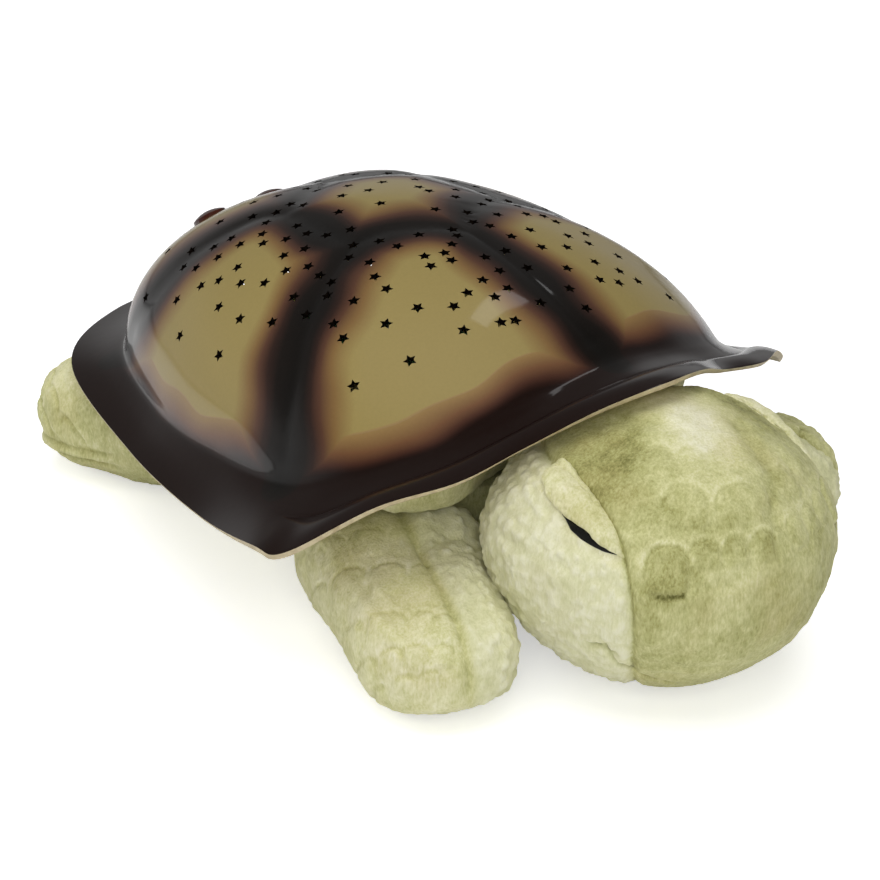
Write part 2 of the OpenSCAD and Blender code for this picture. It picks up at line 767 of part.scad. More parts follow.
module belly_flap() {
    half_w = mouth_half_w - soft_gap;
    color(plush_pale) {
        translate([-half_w, flap_hinge_y, flap_z]) cube([2 * half_w, mouth_y[1] - soft_gap - flap_hinge_y, flap_t]);
        translate([-half_w, flap_hinge_y, flap_z + flap_hinge_r]) rotate([0, 90, 0])
            cylinder(r = flap_hinge_r, h = 2 * half_w);
    }
}

module hook_strip() {
    color("#8d8f6d")
        translate([-strip_half_w, strip_y[0], flap_z + flap_t])
            cube([2 * strip_half_w, strip_y[1] - strip_y[0], strip_t]);
}

module loop_strip() {
    color("#8d8f6d")
        translate([-strip_half_w, strip_y[0], loop_top - strip_t])
            cube([2 * strip_half_w, strip_y[1] - strip_y[0], strip_t]);
}

module head() {
    color(plush_green) head_form();
}

// A point of the head's surface, by its turn from straight ahead and its lift, sunk by depth
function on_head(side, turn, lift, depth) =
    [side * (head_r - depth) * cos(lift) * sin(turn),
     head_y - (head_r - depth) * cos(lift) * cos(turn),
     head_half_h + (head_half_h - depth) * sin(lift)];

module eyelid(side) {
    color(plush_pale)
        hull()
            for (step = [-1 : 0.5 : 1])
                translate(on_head(side, lid_turn + step * lid_span, lid_lift + 6 * step, 1))
                    sphere(r = 4 - 2.4 * step * step, $fn = 16);
}

module eye(side) {
    color("#1d1d1b")
        hull()
            for (step = [-1 : 0.5 : 1])
                translate(on_head(side, eye_turn + step * eye_span, eye_lift + 3.5 * step, 0.2))
                    sphere(r = 1.5 - 0.9 * step * step, $fn = 14);
}

// A stuffed flipper that lies on the floor, from its rounded root to its tip along +Y
module pad(half_w, tall, length, low) {
    count = 20;
    steps = 14;
    root = half_w[0];
    rows = [for (k = [1 : steps - 1])
        let (s = -cos(180 * k / steps), y = mix(-root, length, (s + 1) / 2), share = pow(max(0, y / length), 2),
             e = pow(1 - pow(abs(s), 3.2), 0.4), w = mix(half_w[0], half_w[1], share) * e,
             h = tall * mix(1, low, share), z = h / 2)
        [for (i = [0 : count - 1])
            let (a = 360 * i / count, cx = cos(a), cz = sin(a))
            [w * sign(cx) * pow(abs(cx), 0.85), y, z + h / 2 * e * sign(cz) * pow(abs(cz), 0.85)]]];
    ring_stack(flipped(rows), [0, -root, tall / 2], [0, length, tall * low / 2]);
}

module front_flipper(side) {
    turn = side > 0 ? front_turn[0] : front_turn[1];
    color(plush_green)
        translate([side * front_hip.x, front_hip.y, 0])
            rotate([0, 0, 180 + side * turn]) pad(front_pad_w, front_pad_h, front_pad_l, front_tip_low);
}

module rear_flipper(side) {
    color(plush_green)
        translate([side * rear_hip.x, rear_hip.y, 0])
            rotate([0, 0, -side * rear_turn]) pad(rear_pad_w, rear_pad_h, rear_pad_l, rear_tip_low);
}

carapace();
base_plate();
battery_door();
door_screw();
battery(1);  // battery_1
battery(2);  // battery_2
battery(3);  // battery_3
contact_plates();
contact_springs();
battery_leads();
main_board();
board_screws();
led(-1, "#e6a23c");  // led_amber
led(0, "#58b368");  // led_green
led(1, "#4a7fd0");  // led_blue
button_board();
button_board_screws();
tact_switches();
plunger(button_pitch);  // plunger_left
plunger(0);  // plunger_middle
plunger(-button_pitch);  // plunger_right
button_cap(button_pitch);  // button_left
button_cap(0);  // button_middle
button_cap(-button_pitch);  // button_right
button_ribbon();
shell_screws();
plush_body();
neck_collar();
belly_panel();
belly_flap();
hook_strip();
loop_strip();
head();
eyelid(1);  // eyelid_left
eyelid(-1);  // eyelid_right
eye(1);  // eye_left
eye(-1);  // eye_right
front_flipper(1);  // front_flipper_left
front_flipper(-1);  // front_flipper_right
rear_flipper(1);  // rear_flipper_left
rear_flipper(-1);  // rear_flipper_right
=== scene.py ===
import bpy
import math
import numpy as np
from mathutils import Vector, Matrix
from mathutils.bvhtree import BVHTree
from mathutils.kdtree import KDTree


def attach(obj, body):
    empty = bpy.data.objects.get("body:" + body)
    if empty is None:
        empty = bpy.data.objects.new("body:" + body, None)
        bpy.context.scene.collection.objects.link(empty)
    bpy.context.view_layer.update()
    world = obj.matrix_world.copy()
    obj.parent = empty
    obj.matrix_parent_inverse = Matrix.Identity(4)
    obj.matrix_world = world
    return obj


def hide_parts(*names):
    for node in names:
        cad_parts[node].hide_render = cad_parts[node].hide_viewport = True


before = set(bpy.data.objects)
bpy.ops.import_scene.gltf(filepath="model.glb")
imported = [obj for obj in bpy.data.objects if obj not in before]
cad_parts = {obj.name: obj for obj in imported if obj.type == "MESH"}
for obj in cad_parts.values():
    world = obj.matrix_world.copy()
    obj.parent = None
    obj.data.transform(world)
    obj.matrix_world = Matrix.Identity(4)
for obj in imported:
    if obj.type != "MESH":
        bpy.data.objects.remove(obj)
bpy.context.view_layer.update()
scene = bpy.context.scene
mm = 0.001
print("stage: frame loaded,", len(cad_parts), "nodes")


# ---- small helpers

def toLinear(code):
    parts = [int(code[i:i + 2], 16) / 255 for i in (1, 3, 5)]
    return tuple(c / 12.92 if c < 0.04045 else ((c + 0.055) / 1.055) ** 2.4 for c in parts) + (1.0,)


def newMaterial(name):
    mat = bpy.data.materials.new(name)
    mat.use_nodes = True
    mat.node_tree.nodes.clear()
    return mat


def addNode(owner, kind, links=None, **settings):
    # one node, with its settings, and its inputs given as values or as sockets to link
    node = owner.node_tree.nodes.new(kind)
    for key, value in settings.items():
        setattr(node, key, value)
    for key, value in (links or {}).items():
        if isinstance(value, bpy.types.NodeSocket):
            owner.node_tree.links.new(value, node.inputs[key])
        else:
            node.inputs[key].default_value = value
    return node


def finishMaterial(mat, shader):
    addNode(mat, "ShaderNodeOutputMaterial", {"Surface": shader.outputs[0]})


def setRamp(node, stops):
    ramp = node.color_ramp
    while len(ramp.elements) > 1:
        ramp.elements.remove(ramp.elements[-1])
    ramp.elements[0].position, ramp.elements[0].color = stops[0][0], toLinear(stops[0][1])
    for place, code in stops[1:]:
        ramp.elements.new(place).color = toLinear(code)


def patternMaterial(name, stops, look, pattern, grain=None, wear=None, relief=None, streak=(1.0, 1.0, 1.0),
                    kind="ShaderNodeTexNoise", read="Fac", deep=False, **settings):
    # a finish drawn by one pattern: its tones, its wear and its relief, the last two by a finer grain if given
    mat = newMaterial(name)
    coords = addNode(mat, "ShaderNodeTexCoord")
    place = addNode(mat, "ShaderNodeMapping", {"Vector": coords.outputs["Object"], "Scale": streak}).outputs[0]
    tones = addNode(mat, kind, {"Vector": place, **pattern}, **settings).outputs[read]
    marks = addNode(mat, kind, {"Vector": place, **grain}).outputs[read] if grain else tones
    shade = addNode(mat, "ShaderNodeValToRGB", {"Fac": tones})
    setRamp(shade, stops)
    links = {"Base Color": shade.outputs["Color"], **look}
    if wear:
        worn = addNode(mat, "ShaderNodeMapRange", {"Value": marks, "To Min": wear[0], "To Max": wear[1]})
        links["Roughness"] = worn.outputs[0]
    if relief:
        bump = addNode(mat, "ShaderNodeBump", {"Height": marks, "Strength": relief[0], "Distance": relief[1]},
                       invert=deep)
        links["Normal"] = bump.outputs[0]
    finishMaterial(mat, addNode(mat, "ShaderNodeBsdfPrincipled", links))
    return mat


def pickOnly(*objs):
    if bpy.context.object and bpy.context.object.mode != "OBJECT":
        bpy.ops.object.mode_set(mode="OBJECT")
    bpy.ops.object.select_all(action="DESELECT")
    for obj in objs:
        obj.select_set(True)
    bpy.context.view_layer.objects.active = objs[0]


def applyAll(obj):
    pickOnly(obj)
    for mod in list(obj.modifiers):
        bpy.ops.object.modifier_apply(modifier=mod.name)


def getPoints(obj):
    co = np.empty(len(obj.data.vertices) * 3)
    obj.data.vertices.foreach_get("co", co)
    return co.reshape(-1, 3)


def setPoints(obj, co):
    obj.data.vertices.foreach_set("co", np.asarray(co, float).ravel())
    obj.data.update()


def getNormals(obj):
    no = np.empty(len(obj.data.vertices) * 3)
    obj.data.vertices.foreach_get("normal", no)
    return no.reshape(-1, 3)


def setAttribute(obj, name, values):
    att = obj.data.attributes.get(name) or obj.data.attributes.new(name, "FLOAT", "POINT")
    att.data.foreach_set("value", np.asarray(values, np.float32).ravel())


def cleanMesh(obj, gap):
    # vertices closer than gap, in mm, join, and all faces turn outwards
    pickOnly(obj)
    bpy.ops.object.mode_set(mode="EDIT")
    bpy.ops.mesh.select_all(action="SELECT")
    bpy.ops.mesh.remove_doubles(threshold=gap * mm)
    bpy.ops.mesh.normals_make_consistent(inside=False)
    bpy.ops.object.mode_set(mode="OBJECT")


def ease(obj, rounds):
    mod = obj.modifiers.new("ease", "SMOOTH")
    mod.factor, mod.iterations = 0.5, rounds
    applyAll(obj)


def rollSheet(name, rows, slotOfRow=None):
    # a grid primitive, rolled into rings: rows[k][j] is the place of ring k, column j, in mm
    rows = np.asarray(rows, float) * mm
    wrap = np.concatenate([rows, rows[:, :1]], axis=1)
    bpy.ops.object.select_all(action="DESELECT")
    bpy.ops.mesh.primitive_grid_add(x_subdivisions=wrap.shape[1] - 1, y_subdivisions=len(wrap) - 1, size=0.1)
    obj = bpy.context.object
    obj.name = obj.data.name = name
    obj.data.transform(obj.matrix_world)
    obj.matrix_world = Matrix.Identity(4)
    setPoints(obj, wrap.reshape(-1, 3))
    if slotOfRow:
        for poly in obj.data.polygons:
            poly.material_index = slotOfRow(min(poly.vertices) // wrap.shape[1])
    cleanMesh(obj, 0.02)
    return obj


def smoothBetween(a, b, c, d, t):
    # the curve from b to c, t from 0 to 1; a and d are the points before and after
    return 0.5 * (2 * b + (c - a) * t + (2 * a - 5 * b + 4 * c - d) * t * t + (3 * b - a - 3 * c + d) * t ** 3)


def curveThrough(points, t):
    # a smooth open curve through points, t from 0 to 1
    pts = np.asarray(points, float)
    spans = len(pts) - 1
    x = min(max(t * spans, 0), spans - 1e-9)
    k = int(x)
    return smoothBetween(*(pts[min(max(k + i, 0), spans)] for i in (-1, 0, 1, 2)), x - k)


def nearLine(co, line):
    # distance in mm from each point to a line of points
    best = np.full(len(co), 1e9)
    for a, b in zip(line[:-1], line[1:]):
        a, b = np.asarray(a, float), np.asarray(b, float)
        along = b - a
        t = np.clip(((co - a) @ along) / max(along @ along, 1e-9), 0, 1)
        best = np.minimum(best, np.linalg.norm(co - (a + t[:, None] * along), axis=1))
    return best


def rise(x, low, high):
    # eases from 0 at low to 1 at high
    t = np.clip((x - low) / (high - low), 0, 1)
    return t * t * (3 - 2 * t)


# ---- camera, light and floor

view = {"turn": -40.1, "lift": 26.5, "distance": 0.8384, "target": (-0.0005, -0.0086, 0.0417), "lens": 86.34}
turn, lift = math.radians(view["turn"]), math.radians(view["lift"])
back = Vector((math.sin(turn) * math.cos(lift), -math.cos(turn) * math.cos(lift), math.sin(lift)))
camData = bpy.data.cameras.new("camera")
camData.lens = view["lens"]
camData.sensor_width = 36
camera = bpy.data.objects.new("camera", camData)
camera.location = Vector(view["target"]) + back * view["distance"]
camera.rotation_euler = back.to_track_quat("Z", "Y").to_euler()
scene.collection.objects.link(camera)
scene.camera = camera
scene.view_settings.view_transform = "Standard"

studio = {"horizon": 0.3, "front": 0.25, "above": 0.1, "floorShade": "#ffffff", "floorGlow": 0.5,
          "floorSize": 8, "floorZ": -0.0005, "lampAim": (0, -0.02, 0.06)}
lamps = {                      # place in m, size in m, power in W, and whether gloss shows it
    "overheadStrip": ((0.42, 0.15, 1.1), (0.1, 0.35), 0.19, True),
    "topSoftbox": ((-0.2, -0.2, 1.5), (1.3, 1.3), 14.5, False),
    "frontSoftbox": ((-0.9, -1.15, 0.9), (0.9, 0.9), 10.5, False),
    "sideSoftbox": ((1.1, -0.9, 0.7), (0.8, 0.8), 1.2, False),
    "rearSoftbox": ((-0.9, 1.0, 0.8), (0.9, 0.7), 4.5, False),
}


def buildStudio():
    world = bpy.data.worlds.new("studioWorld")
    scene.world = world
    world.use_nodes = True
    world.node_tree.nodes.clear()
    # a pale band low behind the table, and a dim room above it; the camera itself sees white
    coords = addNode(world, "ShaderNodeTexCoord")
    split = addNode(world, "ShaderNodeSeparateXYZ", {0: coords.outputs["Generated"]})
    fade = addNode(world, "ShaderNodeMapRange", {
        "Value": split.outputs["Z"], "From Min": 0.18, "From Max": 0.48, "To Min": studio["horizon"],
        "To Max": studio["above"]}, interpolation_type="SMOOTHSTEP")
    behind = addNode(world, "ShaderNodeMapRange", {
        "Value": split.outputs["Y"], "From Min": -0.3, "From Max": 0.45, "To Min": studio["front"],
        "To Max": 1.0})
    level = addNode(world, "ShaderNodeMath", {0: fade.outputs[0], 1: behind.outputs[0]}, operation="MULTIPLY")
    plain = addNode(world, "ShaderNodeBackground", {"Color": (1, 1, 1, 1), "Strength": level.outputs[0]})
    seen = addNode(world, "ShaderNodeBackground", {"Color": (1, 1, 1, 1), "Strength": 1.0})
    path = addNode(world, "ShaderNodeLightPath")
    mix = addNode(world, "ShaderNodeMixShader", {
        "Fac": path.outputs["Is Camera Ray"], 1: plain.outputs[0], 2: seen.outputs[0]})
    addNode(world, "ShaderNodeOutputWorld", {"Surface": mix.outputs[0]})
    for name, (place, size, power, inGloss) in lamps.items():
        data = bpy.data.lights.new(name, "AREA")
        data.shape = "RECTANGLE"
        data.size, data.size_y = size
        data.energy = power
        lamp = bpy.data.objects.new(name, data)
        lamp.location = place
        lamp.visible_glossy = inGloss
        lamp.rotation_euler = (Vector(place) - Vector(studio["lampAim"])).to_track_quat("Z", "Y").to_euler()
        scene.collection.objects.link(lamp)
    bpy.ops.object.select_all(action="DESELECT")
    bpy.ops.mesh.primitive_plane_add(size=studio["floorSize"], location=(0, 0, studio["floorZ"]))
    floor = bpy.context.object
    floor.name = "studioFloor"
    # matt paper sweep: white to the camera, and it still takes the shadow
    mat = newMaterial("paperSweepMatt")
    diffuse = addNode(mat, "ShaderNodeBsdfPrincipled", {
        "Base Color": toLinear(studio["floorShade"]), "Roughness": 0.9})
    coords = addNode(mat, "ShaderNodeTexCoord")
    away = addNode(mat, "ShaderNodeVectorMath", {0: coords.outputs["Object"]}, operation="LENGTH")
    whiter = addNode(mat, "ShaderNodeMapRange", {
        "Value": away.outputs["Value"], "From Min": 0.25, "From Max": 0.9, "To Min": studio["floorGlow"],
        "To Max": 1.0})
    glow = addNode(mat, "ShaderNodeEmission", {"Color": (1, 1, 1, 1), "Strength": whiter.outputs[0]})
    path = addNode(mat, "ShaderNodeLightPath")
    dark = addNode(mat, "ShaderNodeEmission", {"Color": (0, 0, 0, 1), "Strength": 0.0})
    pick = addNode(mat, "ShaderNodeMixShader", {
        0: path.outputs["Is Camera Ray"], 1: dark.outputs[0], 2: glow.outputs[0]})
    both = addNode(mat, "ShaderNodeAddShader", {0: diffuse.outputs[0], 1: pick.outputs[0]})
    finishMaterial(mat, both)
    floor.data.materials.append(mat)


buildStudio()
print("stage: studio")


# ---- shell: the same stations and curves as the solid shell, drawn finer

shell = {
    "rimHalfW": 128, "rimFront": 131, "rimRear": 157, "archH": 110, "cornerH": 62, "waistH": 51, "tailH": 59,
    "crownH": 138, "crownY": 11.5, "footHalfW": 101, "footFront": 101, "footRear": 131,
    "footArchH": 107, "footWaistH": 64, "footTailH": 67, "wall": 2.5, "starR": 2.6,
    "columns": 12, "domeRows": 54, "grooveDepth": 1.3, "grooveWidth": 8.0, "grooveFade": 6.0,
    "filletRounds": 5, "filletRows": (-2, 4), "lipFades": (-84, -62), "sideHollow": 0.9, "sideLift": 0.5,
    "edgeRound": 0.35, "starInner": 0.5, "starTurn": 47, "punchTall": 8, "punchSunk": 1, "smoothAngle": 38,
}
rimDrop = (0, 0.12, 0.35, 0.48, 0.63, 0.96, 1)
rimWide = (0, 0.2, 0.39, 0.59, 0.78, 0.975, 1, 0.93, 0.86, 0.71, 0.39, 0)
rimLong = (-1, -0.94, -0.855, -0.82, -0.71, -0.573, -0.466, -0.107, 0.293, 0.758, 0.962, 1)
footDrop = (0, 0.07, 0.19, 0.37, 0.58, 0.72, 0.88, 0.95, 1)
footWide = (0, 0.24, 0.455, 0.673, 0.85, 0.94, 1, 1, 0.96, 0.78, 0.475, 0)
footLong = (-1, -0.98, -0.95, -0.87, -0.743, -0.614, -0.416, -0.08, 0.305, 0.733, 0.947, 1)
footLean = (35, 34, 32, 28, 22, 14, 8, 2, 0, 0, 0, 0)
tailRise = (0, 0.75, 1, 1)
# share of the way from the dome's foot to the rim, and lift: a hollow, a crease, then a rolled lip
flangeForm = ((0.02, 0.0), (0.04, 0.25), (0.06, -0.1), (0.14, -0.8), (0.22, -1.2), (0.3, -1.45),
              (0.37, -1.6), (0.405, -1.75), (0.42, -2.1), (0.435, -1.45), (0.47, -0.7), (0.52, 0.1),
              (0.58, 0.75), (0.66, 1.25), (0.74, 1.45), (0.82, 1.5), (0.89, 1.3), (0.95, 1.1),
              (0.985, 0.95), (1, 0.75))


def mirrored(half):
    return np.array(half + [[-p[0]] + p[1:] for p in half[-2:0:-1]], float)


def reach(share, front, rear):
    return share * front if share < 0 else share * rear


def heights(high, low, shares):
    return [shell[high] + (shell[low] - shell[high]) * share for share in shares]


# each loop's stations run from the front to the rear: half width, length, height and lean
rimHeights = heights("archH", "cornerH", rimDrop) + heights("waistH", "tailH", (0,) + tailRise)
rimLoop = mirrored([[wide * shell["rimHalfW"], reach(along, shell["rimFront"], shell["rimRear"]), z, 0]
                    for wide, along, z in zip(rimWide, rimLong, rimHeights)])
footHeights = heights("footArchH", "footWaistH", footDrop) + heights("footWaistH", "footTailH", tailRise[1:])
footLoop = mirrored([[wide * shell["footHalfW"], reach(along, shell["footFront"], shell["footRear"]), z, lean]
                     for wide, along, z, lean in zip(footWide, footLong, footHeights, footLean)])


def aroundLoop(loop, u):
    k = int(math.floor(u))
    return smoothBetween(*(loop[(k + i) % len(loop)] for i in (-1, 0, 1, 2)), u - k)


def domePoint(u, share):
    foot = aroundLoop(footLoop, u)
    lean = math.radians(foot[3])
    f = lean + (math.pi / 2 - lean) * share
    spread = math.cos(f) / math.cos(lean)
    height = (shell["crownH"] - foot[2]) / (1 - math.sin(lean))
    return (foot[0] * spread, shell["crownY"] + (foot[1] - shell["crownY"]) * spread,
            shell["crownH"] - height * (1 - math.sin(f)))


# scute borders as seen from above, for the turtle's right half, in mm; the left half is mirrored
scuteLines = {
    "crownFront": [(-37, -2), (-27, -4), (-18, -8), (-8, -15), (0, -24)],
    "crownSide": [(-37, -2), (-37, 12), (-35, 30), (-35, 42)],
    "crownRear": [(-35, 42), (-22, 50), (-9, 57), (0, 61)],
    "frontMiddle": [(0, -24), (0, -45), (0, -66), (0, -86), (0, -103)],
    "sideFront": [(-37, -2), (-48, -7), (-58, -11), (-68, -16), (-76.5, -22), (-84, -28), (-92, -34),
                  (-98, -39), (-104, -42)],
    "sideRear": [(-35, 42), (-40, 53), (-51.5, 61), (-63, 69), (-75, 76), (-81, 86), (-86, 98)],
    "rearMiddle": [(0, 61), (0, 80), (0, 100), (0, 120), (0, 134)],
}
starPlaces = [                 # as seen from above, in mm
    (9, -79), (-20, -73), (59, -72), (-25, -71), (-6, -71), (10, -69), (35, -69), (27, -67), (47, -67),
    (-38, -66), (-59, -62), (42, -62), (-19, -61), (-12, -60), (18, -59), (34, -57), (-34, -56), (-26, -54),
    (3, -54), (-77, -53), (77, -53), (-17, -52), (-8, -51), (52, -51), (-44, -48), (29, -47), (-56, -45),
    (18, -45), (43, -44), (-7, -42), (3, -42), (37, -39), (-69, -37), (-19, -37), (69, -37), (49, -36),
    (-27, -35), (12, -35), (-46, -33), (23, -33), (-18, -32), (-12, -29), (-67, -29), (-25, -29), (67, -29),
    (-57, -28), (57, -28), (42, -27), (-6, -25), (-45, -25), (10, -25), (40, -22), (-4, -20), (7, -19),
    (33, -20), (51, -19), (20, -18), (-41, -17), (-28, -17), (-60, -16), (-17, -16), (60, -16), (-69, -15),
    (69, -15), (-55, -12), (11, -11), (37, -11), (-30, -9), (48, -8), (-43, -7), (23, -6), (-55, -5),
    (57, -5), (-76, -4), (-66, -4), (1, -4), (40, -2), (76, -4), (30, -2), (-37, -2), (-54, 3), (17, 3),
    (-31, 7), (36, 9), (-59, 10), (59, 10), (24, 11), (-89, 12), (-79, 12), (79, 12), (89, 12), (-48, 13),
    (-38, 13), (48, 13), (-66, 14), (-11, 14), (12, 13), (66, 14), (-54, 18), (12, 19), (42, 20), (-25, 22),
    (-41, 21), (-47, 26), (-69, 25), (69, 25), (-78, 27), (78, 27), (-5, 29), (-39, 30), (19, 30), (39, 30),
    (-15, 33), (-52, 34), (6, 34), (-64, 34), (64, 35), (-70, 38), (-87, 41), (-48, 40), (51, 41), (87, 41),
    (-27, 42), (-5, 42), (-55, 45), (-42, 46), (28, 45), (-73, 46), (73, 46), (-35, 49), (36, 48),
    (-28, 49), (-62, 50), (62, 50), (16, 51), (-13, 52), (23, 52), (-53, 54), (-78, 56), (78, 56),
    (-67, 58), (-40, 58), (43, 58), (67, 58), (-58, 59), (-12, 60), (14, 62), (-23, 64), (-2, 64),
    (-67, 68), (12, 68), (67, 68), (-10, 70), (36, 70), (-30, 71), (-60, 72), (60, 72), (-45, 73), (3, 73),
    (45, 73), (17, 76), (28, 78), (-8, 82), (50, 82), (-16, 83), (-75, 84), (75, 84), (-25, 85), (3, 87),
    (-57, 93), (57, 93), (46, 98), (57, 103), (-46, 100),
]
buttonRow = {"y": 104, "pitch": 30, "capR": 7.2, "gap": 0.4, "spread": 1.54, "holeTall": 15}


def sheetNormals(rows):
    # outward normals of the shell's rows, the first of which is the crown's one point
    down = np.gradient(rows, axis=0)
    around = np.roll(rows, -1, axis=1) - np.roll(rows, 1, axis=1)
    normals = np.cross(around, down)
    normals[0] = (0, 0, 1)
    normals /= np.maximum(np.linalg.norm(normals, axis=2)[:, :, None], 1e-9)
    if normals[shell["domeRows"] // 2, :, 2].mean() < 0:
        normals = -normals
    normals[0] = (0, 0, 1)
    return normals


def buildShell():
    perStation = shell["columns"]
    columns = len(footLoop) * perStation
    us = [j / perStation for j in range(columns)]
    rows = [[domePoint(u, 1 - k / shell["domeRows"]) for u in us] for k in range(shell["domeRows"] + 1)]
    feet = np.array([aroundLoop(footLoop, u)[:3] for u in us])
    rims = np.array([aroundLoop(rimLoop, u)[:3] for u in us])
    # the lip is rolled in front, and nearly flat at the sides
    inFront = 1 - rise(rims[:, 1], *shell["lipFades"])
    for share, up in flangeForm:
        flat = -shell["sideHollow"] * math.sin(math.pi * share) + shell["sideLift"] * share
        lift = up * inFront + (1 - inFront) * flat
        rows.append(feet * (1 - share) + rims * share + np.stack([0 * lift, 0 * lift, lift], axis=1))
    rows = np.array([np.asarray(r, float) for r in rows])
    # the moulded fillet where the dome turns into its flange
    low, high = (shell["domeRows"] + k for k in shell["filletRows"])
    for _ in range(shell["filletRounds"]):
        mid = rows[low:high].copy()
        rows[low:high] = mid * 0.5 + 0.25 * (rows[low - 1:high - 1] + rows[low + 1:high + 1])
    # scute borders: each border point is dropped onto the dome
    borders = borderLines(rows)
    grooves = np.min([nearLine(rows.reshape(-1, 3), line) for line in borders], axis=0).reshape(rows.shape[:2])
    onDome = np.clip((shell["domeRows"] - np.arange(len(rows))) / shell["grooveFade"], 0, 1)[:, None]
    dip = shell["grooveDepth"] * np.exp(-grooves / shell["grooveWidth"]) * onDome
    rows = rows - sheetNormals(rows) * dip[:, :, None]
    rows[0] = rows[0].mean(0)
    # the inside follows the outside, one wall deeper
    inner = rows - sheetNormals(rows) * shell["wall"]
    inner[0] = inner[0].mean(0)
    edge = rows[-1] * 0.5 + inner[-1] * 0.5
    outward = rims - feet
    outward[:, 2] = 0
    outward /= np.linalg.norm(outward, axis=1)[:, None]
    allRows = np.concatenate([rows, (edge + outward * shell["edgeRound"])[None], inner[::-1]])
    # slot 0 is sprayed, slot 1 is the bare moulding on the cut edge and inside
    obj = rollSheet("starShell", allRows, slotOfRow=lambda k: 0 if k < len(rows) - 1 else 1)
    return obj, borders, rows


def borderLines(rows):
    # each border's height is read from the four points of the dome that are nearest in plan
    lines = []
    flat = rows[:shell["domeRows"] + 3].reshape(-1, 3)
    for side in (1, -1):
        for key, pts in scuteLines.items():
            if side < 0 and key in ("frontMiddle", "rearMiddle"):
                continue
            fine = [curveThrough(pts, t) for t in np.linspace(0, 1, 3 * len(pts))]
            placed = []
            for x, y in fine:
                near = np.argsort((flat[:, 0] - side * x) ** 2 + (flat[:, 1] - y) ** 2)[:4]
                d = np.sqrt((flat[near, 0] - side * x) ** 2 + (flat[near, 1] - y) ** 2) + 0.05
                z = (flat[near, 2] / d).sum() / (1 / d).sum()
                placed.append((side * x, y, z))
            lines.append(placed)
    return lines


def domeAt(x, y):
    # the dome's height and outward normal above a point of the plan; steps are the places tried from
    # station to station, and apart is how far to each side a slope is read, in mm
    steps, apart = 24, 1.5

    def height(px, py):
        angle = math.atan2(px, -(py - shell["crownY"]))
        best, gap = 0, 2 * math.pi
        for j in range(len(footLoop) * steps):
            foot = aroundLoop(footLoop, j / steps)
            a = math.atan2(foot[0], -(foot[1] - shell["crownY"]))
            d = abs((a - angle + math.pi) % (2 * math.pi) - math.pi)
            if d < gap:
                best, gap = j / steps, d
        foot = aroundLoop(footLoop, best)
        lean = math.radians(foot[3])
        full = math.hypot(foot[0], foot[1] - shell["crownY"])
        spread = min(math.hypot(px, py - shell["crownY"]) / full, 0.999)
        f = math.acos(spread * math.cos(lean))
        return shell["crownH"] - (shell["crownH"] - foot[2]) / (1 - math.sin(lean)) * (1 - math.sin(f))

    slopeX = (height(x + apart, y) - height(x - apart, y)) / (2 * apart)
    slopeY = (height(x, y + apart) - height(x, y - apart)) / (2 * apart)
    return height(x, y), Vector((-slopeX, -slopeY, 1)).normalized()


def buildStarPunch():
    # one five-pointed prism, copied to every hole
    bpy.ops.object.select_all(action="DESELECT")
    bpy.ops.mesh.primitive_circle_add(vertices=10, radius=shell["starR"] * mm, fill_type="NGON")
    star = bpy.context.object
    for i, v in enumerate(star.data.vertices):
        size = shell["starR"] if i % 2 == 0 else shell["starR"] * shell["starInner"]
        angle = i * math.pi / 5
        v.co = Vector((math.sin(angle) * size, math.cos(angle) * size, -shell["punchTall"] / 2)) * mm
    bpy.ops.object.mode_set(mode="EDIT")
    bpy.ops.mesh.select_all(action="SELECT")
    bpy.ops.mesh.extrude_region_move(TRANSFORM_OT_translate={"value": (0, 0, shell["punchTall"] * mm)})
    bpy.ops.mesh.select_all(action="SELECT")
    bpy.ops.mesh.normals_make_consistent(inside=False)
    bpy.ops.object.mode_set(mode="OBJECT")
    star.data.materials.append(holeWallPaintAndShade)
    first = star.data.copy()
    copies = []
    for i, (x, y) in enumerate(starPlaces):
        z, normal = domeAt(x, y)
        upright = normal.to_track_quat("Z", "Y").to_matrix().to_4x4()
        place = Matrix.Translation(Vector((x, y, z - shell["punchSunk"])) * mm) @ upright
        place = place @ Matrix.Rotation(math.radians(shell["starTurn"] * i), 4, "Z")
        copy = bpy.data.objects.new("starCopy", first.copy())
        copy.data.transform(place)
        scene.collection.objects.link(copy)
        copies.append(copy)
    bpy.data.objects.remove(star)
    pickOnly(*copies)
    bpy.ops.object.join()
    return bpy.context.object


def cutWith(obj, cutter):
    mod = obj.modifiers.new("cut", "BOOLEAN")
    mod.operation = "DIFFERENCE"
    mod.solver = "EXACT"
    mod.material_mode = "TRANSFER"
    mod.object = cutter
    applyAll(obj)
    bpy.data.objects.remove(cutter)


